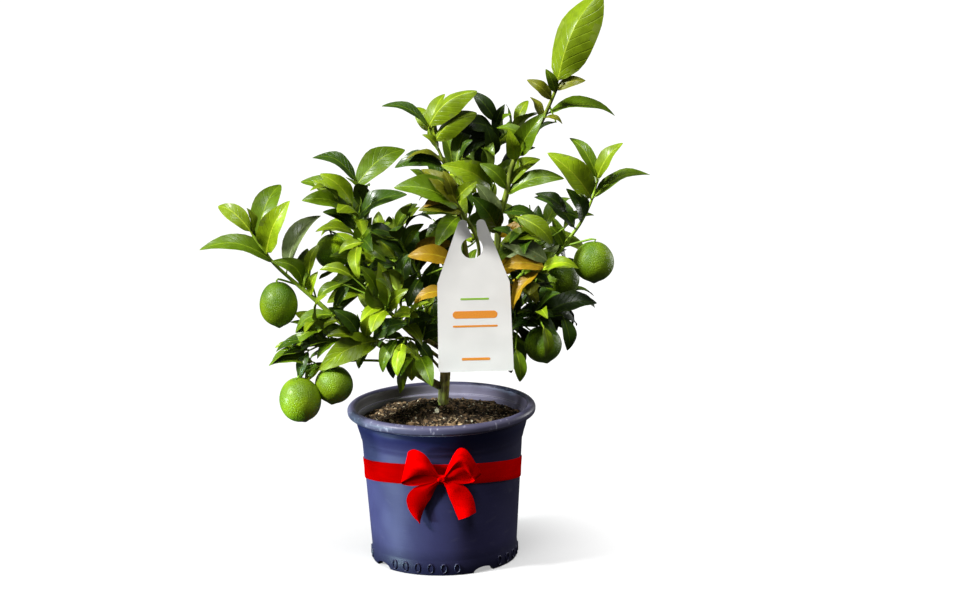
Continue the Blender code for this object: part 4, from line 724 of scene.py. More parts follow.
class Trunk:
    name = "trunk"

    def __init__(self):
        self.route = Route(TRUNK_LINE)
        self.heights = [point[2] for point in TRUNK_LINE]

    def radius(self, distance):
        height = self.route.at(distance).z
        for low, high, wide, narrow in zip(self.heights, self.heights[1:], TRUNK_RADII, TRUNK_RADII[1:]):
            if height <= high:
                return wide + (narrow - wide) * (height - low) / (high - low)
        return TRUNK_RADII[-1]


class Leaf:
    """One leaf: where its root is, the way it points, the way it faces, and its length."""

    OUTLINE = ((0.26, 0.42), (0.62, 0.47), (1.0, 0.0), (0.62, -0.47), (0.26, -0.42))
    PLAIN_OUTLINE = ((0.42, 0.51), (1.0, 0.0), (0.42, -0.51))
    MIDDLE = 0.38
    FOLD = 0.12
    ARCH = 0.080

    def __init__(self, root, direction, facing, length, pivot, plain=False, tone=None):
        self.root = root
        self.tone = tone
        self.direction = direction.normalized()
        self.side = self.direction.cross(facing).normalized()
        self.face = self.side.cross(self.direction).normalized()
        self.length = length
        self.pivot = pivot
        self.plain = plain

    def swung(self, degrees):
        """The same leaf turned about its pivot line, to look for room."""
        swing = Matrix.Rotation(math.radians(degrees), 3, self.pivot)
        ways = (swing @ self.direction, swing @ self.face)
        return Leaf(self.root, *ways, self.length, self.pivot, self.plain, self.tone)

    def corners(self, clear=0.0):
        """The root, the outline, and a middle above and below the blade."""
        length = self.length + clear
        width = self.length * LEAF_WIDTH + clear
        thick = self.length * LEAF_THICK + clear
        shape = [(0.0, 0.0, 0.0)]
        for along, across in self.PLAIN_OUTLINE if self.plain else self.OUTLINE:
            lift = self.FOLD * width * 2 * abs(across) + self.rise(along)
            shape.append((along * length, across * width, lift))
        middle = self.MIDDLE * length
        rise = self.rise(self.MIDDLE)
        shape += [(middle, 0.0, rise + thick), (middle, 0.0, rise - thick)]
        return [self.root + self.direction * x + self.side * y + self.face * z for x, y, z in shape]

    def rise(self, along):
        """How far the blade arches above the straight line from its root to its tip."""
        return self.ARCH * self.length * 4 * along * (1 - along)

    def faces(self, first=0):
        """Triangles from each middle to the rim; the rim may leave out the root."""
        rim = len(self.PLAIN_OUTLINE if self.plain else self.OUTLINE) + 1
        loop = list(range(first, rim))
        pairs = list(zip(loop, loop[1:] + loop[:1]))
        return [(a, b, rim) for a, b in pairs] + [(b, a, rim + 1) for a, b in pairs]

    def shape(self, clear=0.0):
        """The whole leaf, with some room round it, for tests against other masses."""
        return Shape(self.corners(clear), self.faces())

    def blade(self):
        """The part clear of its own twig, for tests against its neighbours on the same mass."""
        return Shape(self.corners(), self.faces(first=1))


def seen_leaf(start, row, tone):
    """A leaf given by its start and how it is seen from the front."""
    bearing, lean, turn, length = row
    bearing = math.radians(bearing)
    lean = math.radians(lean)
    across = math.cos(lean)
    direction = Vector((math.cos(bearing) * across, -math.sin(lean), math.sin(bearing) * across))
    front = Vector((0.0, -1.0, 0.35))
    front = (front - direction * front.dot(direction)).normalized()
    sideways = direction.cross(front)
    if sideways.z < 0:
        sideways = -sideways
    turn = math.radians(turn)
    facing = front * math.cos(turn) + sideways * math.sin(turn)
    return Leaf(start - direction * ROOT_DEPTH, direction, facing, length, sideways, tone=tone)


def placed_leaf(limb, row, tone):
    """A leaf that grows straight from its mass's stem."""
    return seen_leaf(limb.route.at(limb.stem_distance(row[0]) - ROOT_SETBACK), row[1:], tone)


def shoot_leaves(line, count, chance, lengths, level):
    """Leaves in a spiral along a side shoot, with one at its tip; level ones lie flatter."""
    leaves = []
    phase = chance.uniform(0, 2 * math.pi)
    for number in range(count):
        share = 0.30 + 0.70 * number / max(count - 1, 1)
        distance = line.length * share
        heading = line.heading(distance)
        turn = phase + number * GOLDEN_ANGLE
        spread = math.radians(68 - 45 * share)
        if number == count - 1:
            spread = math.radians(8)
        away = heading.orthogonal().normalized()
        away.rotate(Matrix.Rotation(turn, 3, heading))
        lift = UP * (-0.10 if level else 0.22)
        direction = heading * math.cos(spread) + away * math.sin(spread) + lift
        facing = UP + heading * 0.5 + away * -0.3
        if level:
            facing = Vector((-0.25, -0.45, 1.0))
        length = chance.uniform(*lengths) * (1.05 - 0.20 * share)
        root = line.at(distance - ROOT_SETBACK) - direction.normalized() * ROOT_DEPTH
        leaves.append(Leaf(root, direction, facing, length, heading, plain=True))
    return leaves


def side_shoots(limb, count, length, chance):
    """Short shoots that leave the stem in a spiral, bent up and out of the crown."""
    shoots = []
    phase = chance.uniform(0, 2 * math.pi)
    for number in range(count):
        share = 0.06 + 0.80 * (number + 0.5) / count
        distance = limb.stem_distance(share)
        root = limb.route.at(distance)
        heading = limb.route.heading(distance)
        away = heading.orthogonal().normalized()
        away.rotate(Matrix.Rotation(phase + number * GOLDEN_ANGLE, 3, heading))
        outward = (root - CROWN_MIDDLE).normalized()
        direction = (heading * 0.35 + away * 0.9 + outward * 0.35).normalized()
        reach = length * chance.uniform(0.85, 1.15)
        bend = UP * (0.18 * reach)
        shoots.append(Route([root, root + direction * reach * 0.5, root + direction * reach + bend]))
    return shoots


class Space:
    """The share of the crown that one mass keeps to: what lies nearest its own stem."""

    def __init__(self, name, limbs):
        self.own = self.anchors(name, limbs)
        self.others = [
            anchor for other in MASSES if other != name for anchor in self.anchors(other, limbs)]

    @staticmethod
    def anchors(name, limbs):
        """Points along the stem and just past its tip, each with the strength of its claim."""
        limb = limbs[name]
        claim = MASSES[name][0] ** 2
        points = [limb.route.at(limb.stem_distance(share)) for share in (0.0, 0.33, 0.67, 1.0)]
        points.append(points[-1] + limb.route.heading(limb.route.length) * PAST_TIP)
        return [(point, claim) for point in points]

    def holds(self, points):
        for point in points:
            if point.z < CROWN_FLOOR_Z:
                return False
            own = min((point - anchor).length_squared - claim for anchor, claim in self.own)
            other = min((point - anchor).length_squared - claim for anchor, claim in self.others)
            if own > other + SPACE_SLACK:
                return False
        return True


class Shape:
    """The outside of one piece, with a ball round it for quick tests."""

    def __init__(self, points, faces):
        self.points = points
        self.middle = sum(points, Vector()) / len(points)
        self.reach = max((point - self.middle).length for point in points)
        self.tree = BVHTree.FromPolygons(points, faces)

    def clear_of(self, others):
        for other in others:
            near = (self.middle - other.middle).length < self.reach + other.reach
            if near and self.tree.overlap(other.tree):
                return False
        return True


def add_to_scene(name, data):
    thing = bpy.data.objects.new(name, data)
    bpy.context.scene.collection.objects.link(thing)
    return thing


def final_mesh(thing):
    """The object's mesh with its curve or its modifiers worked out."""
    bpy.context.view_layer.update()
    graph = bpy.context.evaluated_depsgraph_get()
    return bpy.data.meshes.new_from_object(thing.evaluated_get(graph))


def unpacked(shape):
    """The points and the faces of a bmesh, which is freed."""
    points = [vertex.co.copy() for vertex in shape.verts]
    faces = [tuple(vertex.index for vertex in face.verts) for face in shape.faces]
    shape.free()
    return points, faces


def packed(name, shape):
    """A mesh made from a bmesh, which is freed."""
    mesh = bpy.data.meshes.new(name)
    shape.to_mesh(mesh)
    shape.free()
    return mesh


def circle(count):
    """The angles of points spaced evenly round a circle."""
    return [2 * math.pi * step / count for step in range(count)]


def polar(radius, angle, height):
    return Vector((radius * math.cos(angle), radius * math.sin(angle), height))


def outward(angle):
    """The way out from the pot's middle, at an angle from the front."""
    return Vector((math.sin(angle), -math.cos(angle), 0.0))


def curve_shape(curve, place=(0.0, 0.0, 0.0), turn=0.0):
    """The outside of a curve as it stands in the scene; the curve itself is thrown away."""
    thing = add_to_scene(curve.name, curve)
    thing.location = place
    thing.rotation_euler = (turn, 0.0, 0.0)
    mesh = final_mesh(thing)
    points = [thing.matrix_world @ vertex.co for vertex in mesh.vertices]
    faces = [tuple(face.vertices) for face in mesh.polygons]
    bpy.data.meshes.remove(mesh)
    bpy.data.objects.remove(thing)
    bpy.data.curves.remove(curve)
    return Shape(points, faces)


def tube_curve(points, radii, section=None, resolution=1):
    """A tapering tube with closed ends; a section curve gives it other sides."""
    curve = bpy.data.curves.new("tube", "CURVE")
    curve.dimensions = "3D"
    curve.use_fill_caps = True
    if section is None:
        curve.bevel_depth = 1.0
        curve.bevel_resolution = resolution
    else:
        curve.bevel_mode = "OBJECT"
        curve.bevel_object = section
    spline = curve.splines.new("POLY")
    spline.points.add(len(points) - 1)
    for knot, point, radius in zip(spline.points, points, radii):
        knot.co = (*point, 1.0)
        knot.radius = radius
    return curve


def flat_curve(outline, thick, offset=0.0):
    """A flat piece cut to a closed outline in X and Z."""
    curve = bpy.data.curves.new("flat", "CURVE")
    curve.dimensions = "2D"
    curve.fill_mode = "BOTH"
    curve.extrude = thick / 2
    curve.offset = offset
    spline = curve.splines.new("POLY")
    spline.points.add(len(outline) - 1)
    for point, (x, z) in zip(spline.points, outline):
        point.co = (x, z, 0.0, 1.0)
    spline.use_cyclic_u = True
    return curve


def arc(centre, radius, start, end, count):
    """Points round part of a circle, angles measured from +X towards +Z."""
    angles = [start + (end - start) * i / count for i in range(count + 1)]
    return [(centre[0] + radius * math.cos(a), centre[1] + radius * math.sin(a)) for a in angles]


def tag_outline(ear_steps=6, hole_steps=22):
    """Down the left edge, along the bottom, up the right edge, over both ears and round the hole."""
    ear_z = TAG_TOP_Z - TAG_EAR_RADIUS
    left_ear = (TAG_EAR_X[0], ear_z)
    right_ear = (TAG_EAR_X[1], ear_z)
    right = arc(right_ear, TAG_EAR_RADIUS, math.radians(25), math.radians(190), ear_steps)
    hole = arc(TAG_HOLE, TAG_HOLE_RADIUS, TAG_SLIT[1], TAG_SLIT[0] - 2 * math.pi, hole_steps)
    left = arc(left_ear, TAG_EAR_RADIUS, math.radians(-20), math.radians(155), ear_steps)
    return [
        (TAG_SHOULDER_X[0], TAG_SHOULDER_Z),
        (TAG_BOTTOM_X[0], TAG_BOTTOM_Z + TAG_CORNER),
        (TAG_BOTTOM_X[0] + TAG_CORNER, TAG_BOTTOM_Z),
        (TAG_BOTTOM_X[1] - TAG_CORNER, TAG_BOTTOM_Z),
        (TAG_BOTTOM_X[1], TAG_BOTTOM_Z + TAG_CORNER),
        (TAG_SHOULDER_X[1], TAG_SHOULDER_Z),
    ] + right + hole + left


def find_obstacles(limbs):
    """Everything that foliage keeps clear of, each a little larger than it is."""
    tag = flat_curve(tag_outline(), TAG_THICK + 2 * CLEARANCE, CLEARANCE)
    shapes = [curve_shape(tag, (0.0, TAG_Y, 0.0), math.radians(90))]
    trunk_radii = [radius + CLEARANCE for radius in TRUNK_RADII]
    shapes.append(curve_shape(tube_curve(TRUNK_LINE, trunk_radii, resolution=4)))
    for name in LIMBS:
        points, radii = limbs[name].bough()
        shapes.append(curve_shape(tube_curve(points, [radius + CLEARANCE for radius in radii])))
    return shapes


def lime_shape(centre, width, height):
    shape = bmesh.new()
    bmesh.ops.create_uvsphere(shape, u_segments=8, v_segments=6, radius=0.5)
    size = Matrix.Diagonal((width, width, height, 1.0))
    bmesh.ops.transform(shape, matrix=Matrix.Translation(centre) @ size, verts=shape.verts)
    return Shape(*unpacked(shape))


def lime_stalk(limb, share, centre, height):
    """The stalk's points, from inside the stem to just inside the top of the fruit."""
    root = limb.route.at(limb.stem_distance(share) - 0.001)
    top = centre + UP * (height / 2 - 0.0025)
    above = centre + UP * (height / 2 + 0.003)
    return [root, above, top] if (root - above).length > 0.003 else [root, top]


class Mass:
    """One mass of foliage while it grows: what it has so far, the shapes that other masses keep
    clear of, and the blades that its own new leaves keep clear of."""

    def __init__(self, limb, limbs, section):
        self.limb = limb
        self.name = limb.name
        self.section = section
        self.space = Space(limb.name, limbs)
        self.shapes = []
        self.blades = []
        self.leaves = []
        self.twigs = []
        self.limes = []
        points, radii = limb.stem()
        self.keep(self.twig_shape(points, [radius * STEM_SWELL for radius in radii]))
        for share, centre, width, height in MASSES[self.name][3]:
            centre = Vector(centre)
            points = lime_stalk(limb, share, centre, height)
            radii = taper(len(points), *STALK_RADII)
            self.keep(self.twig_shape(points, radii))
            self.keep(lime_shape(centre, width, height))
            self.limes.append((centre, width, height, points))

    def twig_shape(self, points, radii):
        return curve_shape(tube_curve(points, radii, self.section))

    def keep(self, shape):
        self.shapes.append(shape)
        self.blades.append(shape)

    def grow_placed(self, obstacles):
        """The leaves seen in front; they may reach into a neighbour's share where it is empty."""
        for row, tone in zip(MASSES[self.name][2], PLACED_TONES[self.name]):
            self.grow_leaf(placed_leaf(self.limb, row, tone), obstacles)

    def grow_more(self, obstacles):
        """Further single leaves that the photograph shows."""
        for *row, tone in MORE_LEAVES.get(self.name, ()):
            self.grow_leaf(placed_leaf(self.limb, row, tone), obstacles)
        for share, start, bearing, turn, length, tone in TWIG_LEAVES.get(self.name, ()):
            start = Vector(start)
            leaf = seen_leaf(start, (bearing, TWIG_LEAN, turn, length), tone)
            self.twigs.append(Route([self.limb.route.at(self.limb.stem_distance(share)), start]))
            self.leaves.append(leaf)
            self.shapes.append(leaf.shape())
            self.blades.append(leaf.blade())

    def grow_shoots(self, shoots, obstacles, lengths=SHOOT_LEAF_LENGTHS, level=False):
        """Leafy side shoots that fill the mass."""
        if shoots is None:
            return
        count, length, size, seed = shoots
        chance = random.Random(seed)
        for line in side_shoots(self.limb, count, length, chance):
            leaves = shoot_leaves(line, size, chance, lengths, level)
            shape = self.twig_shape(line.spaced(2), SHOOT_RADII)
            if not self.space.holds(shape.points) or not shape.clear_of(obstacles):
                continue
            self.keep(shape)
            self.twigs.append(line)
            for leaf in leaves:
                self.grow_leaf(leaf, obstacles)

    def grow_leaf(self, leaf, obstacles):
        """Adds the leaf, or the first swing of it, where there is room."""
        for degrees in SWINGS:
            swung = leaf.swung(degrees)
            shape = swung.shape(CLEARANCE / 2)
            blade = swung.blade()
            if min(point.z for point in shape.points) < CROWN_FLOOR_Z:
                continue
            if leaf.plain and not self.space.holds(shape.points):
                continue
            if shape.clear_of(obstacles) and blade.clear_of(self.blades):
                self.leaves.append(swung)
                self.shapes.append(swung.shape())
                self.blades.append(blade)
                return


def hides_fruit(leaf, masses):
    """Whether a leaf stands before a lime that is seen from the front, or keeps it out of the light."""
    middle = leaf.root + leaf.direction * leaf.length * 0.5
    for mass in masses:
        for centre, width, _, _ in mass.limes:
            front = (Vector(CAMERA_PLACE) - centre).normalized()
            for names, view in ((SEEN_FRUIT, front), (LIT_FRUIT, KEY_SIDE)):
                ahead = (middle - centre).dot(view)
                aside = (middle - centre - view * ahead).length
                if mass.name in names and ahead > 0 and aside < width * FRUIT_VIEW:
                    return True
    return False


def shades_tag(leaf):
    """Whether a leaf before the tag's front would throw its shadow there."""
    for share in (0.5, 1.0):
        spot = leaf.root + leaf.direction * leaf.length * share
        reach = (spot.y - TAG_Y) / KEY_SIDE.y
        mark = spot - KEY_SIDE * reach
        level = TAG_BOTTOM_Z - TAG_FREE_PAST < mark.z < TAG_SHOULDER_Z
        if reach > 0 and TAG_FREE_X[0] < mark.x < TAG_FREE_X[1] and level:
            return True
    return False


def in_opening(leaf):
    """Whether a leaf stands before or behind a place where the front view shows sky."""
    eye = Vector(CAMERA_PLACE)
    for across, height, reach in OPENINGS:
        view = (Vector((across, 0.0, height)) - eye).normalized()
        for share in (0.3, 0.55, 0.8):
            spot = leaf.root + leaf.direction * leaf.length * share - eye
            if (spot - view * spot.dot(view)).length < reach:
                return True
    return False


def twig_section():
    """The three-sided section that every twig is drawn along its line with."""
    curve = bpy.data.curves.new("twig_section", "CURVE")
    curve.dimensions = "2D"
    spline = curve.splines.new("POLY")
    spline.points.add(2)
    for point, angle in zip(spline.points, circle(3)):
        point.co = (math.cos(angle), math.sin(angle), 0.0, 1.0)
    spline.use_cyclic_u = True
    return add_to_scene("twig_section", curve)


def make_limbs():
    limbs = {"trunk": Trunk()}
    for name, (parent, height, root_radius, end_radius, split, line) in LIMBS.items():
        limbs[name] = Limb(name, limbs[parent], height, root_radius, end_radius, split, line)
    return limbs


def grow_masses(limbs):
    """The source's leaves in the source's order, then the finer shoots."""
    section = twig_section()
    fixed = find_obstacles(limbs)
    masses = [Mass(limbs[name], limbs, section) for name in MASSES]

    def others(mass):
        return fixed + [shape for other in masses if other is not mass for shape in other.shapes]

    for mass in masses:
        mass.grow_placed(others(mass))
    for mass in masses:
        mass.grow_shoots(MASSES[mass.name][1], others(mass))
    for mass in masses:
        mass.grow_more(others(mass))
    for mass in masses:
        mass.grow_shoots(FINE_SHOOTS.get(mass.name), others(mass), FINE_LEAF_LENGTHS, level=True)
    bpy.data.objects.remove(section)
    for mass in masses:
        mass.leaves = [leaf for leaf in mass.leaves
                       if not leaf.plain
                       or not (hides_fruit(leaf, masses) or in_opening(leaf) or shades_tag(leaf))]
    return masses


class Builder:
    """Gathers many small shapes into one mesh."""

    def __init__(self):
        self.points = []
        self.faces = []
        self.slots = []
        self.uvs = []

    def add(self, points, faces, slots=0, uvs=None):
        base = len(self.points)
        self.points.extend(tuple(point) for point in points)
        self.faces.extend(tuple(base + index for index in face) for face in faces)
        self.slots.extend([slots] * len(faces) if isinstance(slots, int) else slots)
        self.uvs.extend(uvs if uvs else [(0.5, 0.5)] * len(points))

    def build(self, name, finishes, slot, nodes, sharp):
        """The finished piece, smooth except at edges sharper than this many degrees."""
        mesh = bpy.data.meshes.new(name)
        mesh.from_pydata(self.points, [], self.faces)
        for finish in finishes:
            mesh.materials.append(finish)
        mesh.polygons.foreach_set("material_index", self.slots)
        places = mesh.uv_layers.new(name="along")
        index = np.empty(len(mesh.loops), np.int32)
        mesh.loops.foreach_get("vertex_index", index)
        places.data.foreach_set("uv", np.array(self.uvs, np.float32)[index].ravel())
        shape = bmesh.new()
        shape.from_mesh(mesh)
        bmesh.ops.recalc_face_normals(shape, faces=shape.faces)
        shape.to_mesh(mesh)
        shape.free()
        mesh.shade_smooth()
        mesh.set_sharp_from_angle(angle=math.radians(sharp))
        return settle(mesh, nodes)


def settle(mesh, nodes):
    """Puts a finished mesh in the scene as a piece that stands for some of the solids."""
    thing = add_to_scene(mesh.name, mesh)
    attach(thing, "root")
    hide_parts(*nodes)
    return thing


def ring_faces(rings, sides, capped=True, closed=False):
    """Faces of a tube given ring by ring, with flat caps at its ends or its ends joined."""
    faces = []
    for row in range(rings - (not closed)):
        for side in range(sides):
            after = (side + 1) % sides
            here, there = row * sides, (row + 1) % rings * sides
            faces.append((here + side, here + after, there + after, there + side))
    if capped and not closed:
        last = (rings - 1) * sides
        faces.append(tuple(range(sides)))
        faces.append(tuple(last + side for side in range(sides)))
    return faces


def turned_faces(rings, sides):
    """Faces round an axis: from a middle point over the rings to the last middle point."""
    last = 1 + (rings - 1) * sides
    faces = [(0, 1 + (side + 1) % sides, 1 + side) for side in range(sides)]
    faces += [tuple(1 + index for index in face) for face in ring_faces(rings, sides, capped=False)]
    return faces + [(last + sides, last + side, last + (side + 1) % sides) for side in range(sides)]


def tube_rings(points, radii, sides, relief):
    """Round cross-sections along a line, with the radius roughened lengthwise by relief."""
    rings = []
    normal = (points[1] - points[0]).orthogonal().normalized()
    for index, (point, radius) in enumerate(zip(points, radii)):
        before = points[max(index - 1, 0)]
        after = points[min(index + 1, len(points) - 1)]
        heading = (after - before).normalized()
        normal = (normal - heading * normal.dot(heading)).normalized()
        across = heading.cross(normal)
        for angle in circle(sides):
            away = normal * math.cos(angle) + across * math.sin(angle)
            spot = point + away * radius
            rough = noise.noise(Vector((away * 2.2)[:]) + spot * BARK_GRAIN * 0.12)
            fine = noise.noise(spot * BARK_GRAIN)
            rings.append(point + away * radius * (1 + relief * (rough + 0.6 * fine)))
    return rings


class Finish:
    """A Principled material and the nodes that vary it."""

    def __init__(self, name, colour, roughness, specular):
        self.material = bpy.data.materials.new(name)
        self.material.use_nodes = True
        self.tree = self.material.node_tree
        self.shader = self.tree.nodes["Principled BSDF"]
        self.shader.inputs["Base Color"].default_value = (*colour, 1.0)
        self.shader.inputs["Roughness"].default_value = roughness
        self.shader.inputs["Specular IOR Level"].default_value = specular

    def node(self, kind, **inputs):
        """A node with its named inputs set to values or linked to other nodes' outputs."""
        made = self.tree.nodes.new("ShaderNode" + kind)
        for name, value in inputs.items():
            self.feed(made.inputs[name], value)
        return made

    def feed(self, socket, value):
        if isinstance(value, bpy.types.NodeSocket):
            self.tree.links.new(value, socket)
        elif isinstance(value, tuple) and len(value) == 3 and socket.type == "RGBA":
            socket.default_value = (*value, 1.0)
        else:
            socket.default_value = value

    def math(self, operation, *values):
        made = self.node("Math")
        made.operation = operation
        for socket, value in zip(made.inputs, values):
            self.feed(socket, value)
        return made.outputs[0]

    def place(self, stretch=(1.0, 1.0, 1.0)):
        """The surface's place on the object, stretched along each axis."""
        coordinates = self.node("TexCoord")
        mapping = self.node("Mapping", Vector=coordinates.outputs["Object"], Scale=stretch)
        return mapping.outputs["Vector"]

    def noise(self, scale, detail=3.0, stretch=(1.0, 1.0, 1.0)):
        made = self.node("TexNoise", Vector=self.place(stretch), Scale=scale, Detail=detail)
        return made.outputs["Fac"]

    def cells(self, scale):
        return self.node("TexVoronoi", Vector=self.place(), Scale=scale).outputs["Distance"]

    def spread(self, value, low, high, start=0.0, end=1.0):
        """Stretches the values between low and high to run from start to end."""
        limits = {"From Min": low, "From Max": high, "To Min": start, "To Max": end}
        return self.node("MapRange", Value=value, **limits).outputs["Result"]

    def patches(self, scale, low, high, detail=3.0, stretch=(1.0, 1.0, 1.0)):
        """Noise sharpened to run from 0 to 1 between two of its values."""
        return self.spread(self.noise(scale, detail, stretch), low, high)

    def off(self, value, centre):
        """How far a value is from a centre, on either side."""
        return self.math("ABSOLUTE", self.math("SUBTRACT", value, centre))

    def tint(self, base, colour, share, strength):
        """The base with some of the colour over it, at most this strong."""
        return self.mix(self.math("MULTIPLY", share, strength), base, colour)

    def mix(self, share, first, second):
        made = self.node("Mix")
        made.data_type = "RGBA"
        self.feed(made.inputs[0], share)
        self.feed(made.inputs[6], first)
        self.feed(made.inputs[7], second)
        return made.outputs[2]

    def axis(self, letter):
        """The place along one axis."""
        return self.node("SeparateXYZ", Vector=self.place()).outputs[letter]

    def colour(self, value):
        self.feed(self.shader.inputs["Base Color"], value)

    def mottle(self, colour, grain, low, high, detail=3.0):
        """Soft spots from a darker to a lighter shade of the colour."""
        share = self.patches(grain, 0.3, 0.7, detail)
        self.colour(self.mix(share, shade(colour, low), shade(colour, high)))

    def roughness(self, value):
        self.feed(self.shader.inputs["Roughness"], value)

    def bump(self, height, distance, strength):
        made = self.node("Bump", Height=height, Distance=distance, Strength=strength)
        self.feed(self.shader.inputs["Normal"], made.outputs["Normal"])


def shade(colour, factor):
    return tuple(min(part * factor, 1.0) for part in colour)


def leaf_upper(name, colour, gloss):
    """A waxy leaf: side veins a little paler and raised, with soft mottling between them."""
    finish = Finish(name, colour, gloss, 0.22)
    spots = finish.node("UVMap")
    parts = finish.node("SeparateXYZ", Vector=spots.outputs["UV"])
    across = finish.off(parts.outputs["Y"], 0.5)
    slanted = finish.math("MULTIPLY_ADD", across, -0.50, parts.outputs["X"])
    phase = finish.math("FRACT", finish.math("MULTIPLY", slanted, 9.0))
    vein = finish.spread(finish.off(phase, 0.5), 0.40, 0.50)
    base = finish.mix(finish.patches(90.0, 0.35, 0.70), shade(colour, 0.80), shade(colour, 1.18))
    pale = (colour[0] * 1.5 + 0.02, colour[1] * 1.3 + 0.02, colour[2] * 1.5 + 0.004)
    margin = finish.spread(across, 0.465, 0.50, 0.0, 0.65)
    paler = finish.math("MAXIMUM", finish.math("MULTIPLY", vein, 0.18), margin)
    finish.colour(finish.mix(paler, base, pale))
    finish.roughness(finish.spread(finish.noise(140.0), 0.30, 0.75, gloss - 0.07, gloss + 0.10))
    blister = finish.math("MULTIPLY", finish.noise(260.0, 2.0), 0.5)
    finish.bump(finish.math("SUBTRACT", blister, vein), 0.0004, 0.55)
    return finish.material


def leaf_under(name, colour):
    """The paler, duller underside."""
    finish = Finish(name, colour, 0.62, 0.10)
    finish.mottle(colour, 110.0, 0.85, 1.15)
    finish.bump(finish.noise(400.0, 2.0), 0.0002, 0.4)
    return finish.material


def plain_green(name, colour, roughness):
    """Ribs, twigs and green stems: mottled and finely rough."""
    finish = Finish(name, colour, roughness, 0.15)
    finish.mottle(colour, 300.0, 0.75, 1.25)
    finish.bump(finish.noise(600.0, 2.0), 0.0002, 0.5)
    return finish.material


def bark_finish(name, dark, light, moss, grain=70.0):
    """Bark with lengthwise streaks, lighter ridges and a green tint in patches."""
    finish = Finish(name, light, 0.78, 0.10)
    base = finish.mix(finish.patches(260.0, 0.36, 0.62, 4.0, (1.0, 1.0, 0.16)), dark, light)
    patch = finish.patches(grain, 0.50, 0.68, 2.0, (1.0, 1.0, 0.6))
    finish.colour(finish.tint(base, moss, patch, 0.75))
    finish.bump(finish.noise(420.0, 4.0, (1.0, 1.0, 0.22)), 0.0008, 0.8)
    return finish.material


def lime_skin(name, dark, light):
    """Glossy rind: small pits, pale pores, and soft change from deep to yellow green."""
    finish = Finish(name, light, 0.38, 0.28)
    base = finish.mix(finish.patches(26.0, 0.32, 0.66, 2.0), dark, light)
    pits = finish.cells(620.0)
    pore = finish.spread(pits, 0.10, 0.30, 1.0, 0.0)
    pale = (light[0] * 1.5 + 0.03, light[1] * 1.3 + 0.03, light[2] + 0.01)
    finish.colour(finish.tint(base, pale, pore, 0.30))
    finish.roughness(finish.spread(finish.noise(60.0), 0.3, 0.7, 0.36, 0.50))
    finish.bump(finish.spread(pits, 0.0, 0.50), 0.0008, 0.7)
    return finish.material


class Habit:
    """How one leaf is folded, waved, curled, twisted and arched."""

    def __init__(self, leaf, chance, ridged):
        sharp = leaf.tone and leaf.tone.isupper()
        self.width = LEAF_WIDTH * leaf.length * BLADE_FILL * chance.uniform(*BLADE_WIDTHS)
        self.fold = chance.uniform(*(SHARP_FOLD if sharp else USUAL_FOLD))
        if ridged:
            fold, wide = RIDGED_PLACED if leaf.tone else RIDGED_OTHER
            self.fold *= fold
            self.width *= wide
        if leaf.tone in NARROW_LETTERS:
            self.width *= NARROW_WIDTH
        self.wave = chance.uniform(*MARGIN_WAVE)
        self.beats = chance.uniform(*MARGIN_BEATS)
        self.curl = chance.uniform(*TIP_CURL)
        self.twist = chance.uniform(-BLADE_TWIST, BLADE_TWIST) * (0.2 if leaf.tone == "U" else 1.0)
        self.phases = (chance.uniform(0, 2 * math.pi), chance.uniform(0, 2 * math.pi))
        upward = UP - leaf.direction * leaf.direction.z
        self.arch = upward * leaf.length * ARCHES.get(leaf.tone, USUAL_ARCH)

    def section(self, along, share, middle):
        """Half the width of one section, and its outline: over the upper side and back below."""
        blade = 0.5 * self.width * math.sin(math.pi * share ** 0.93) ** (0.56 + 0.14 * share)
        stalk = PETIOLE_RADIUS * (1.35 - 0.5 * min(along / PETIOLE_SHARE, 1.0))
        half = max(blade, stalk * (1 - 0.8 * share))
        rib = PETIOLE_RADIUS * (1 - 0.8 * along)
        core = stalk * 0.9 * (1 - min(share * 8, 1.0)) + BLADE_THICK / 2 * (1 - 0.7 * share)
        upper = []
        under = []
        for column in LEAF_COLUMNS:
            across = column * half
            if abs(column) < 0.1:
                across = math.copysign(min(rib, 0.5 * half), column)
            edge = abs(across) / half
            phase = self.phases[0] if column < 0 else self.phases[1]
            lift = self.fold * abs(across) * (0.55 + 0.45 * edge)
            lift += self.wave * half * edge ** 2 * math.sin(2 * math.pi * self.beats * along + phase)
            lift *= min(share * 6, 1.0)
            thick = core * math.sqrt(max(0.0, 1 - edge ** 2))
            keel = rib * 0.9 if edge < 0.3 and abs(across) <= rib * 1.01 else 0.0
            upper.append((across, middle + lift + thick))
            under.append((across, middle + lift - thick - keel))
        return half, upper + under[-2:0:-1]


def leaf_rings(leaf, chance, ridged):
    """One leaf as a thin closed shell: petiole, folded and waved blade, and pointed tip."""
    habit = Habit(leaf, chance, ridged)
    points = []
    uvs = []
    for along in LEAF_STATIONS:
        share = max(0.0, (along - PETIOLE_SHARE) / (1 - PETIOLE_SHARE))
        bank = Matrix.Rotation(habit.twist * share, 3, leaf.direction)
        side = bank @ leaf.side
        face = bank @ leaf.face
        droop = habit.curl * leaf.length * max(0.0, (along - 0.55) / 0.45) ** 2
        middle = leaf.rise(along) * 1.3 - droop
        half, section = habit.section(along, share, middle)
        for across, lift in section:
            off = side * across + face * (lift - middle) + leaf.face * middle
            off += habit.arch * along * (1 - along)
            points.append(leaf.root + leaf.direction * along * leaf.length + off)
            uvs.append((along, 0.5 + 0.5 * across / half))
    return points, uvs


def leaf_slots():
    """Which finish each face of a leaf takes: 0 upper, 1 rib and petiole, 2 under."""
    sides = 2 * len(LEAF_COLUMNS) - 2
    columns = len(LEAF_COLUMNS) - 1
    slots = []
    for along in LEAF_STATIONS[:-1]:
        for side in range(sides):
            slot = 0 if side < columns else 2
            if along < PETIOLE_SHARE - 0.01 or side == columns // 2:
                slot = 1
            slots.append(slot)
    return slots + [1, 1]


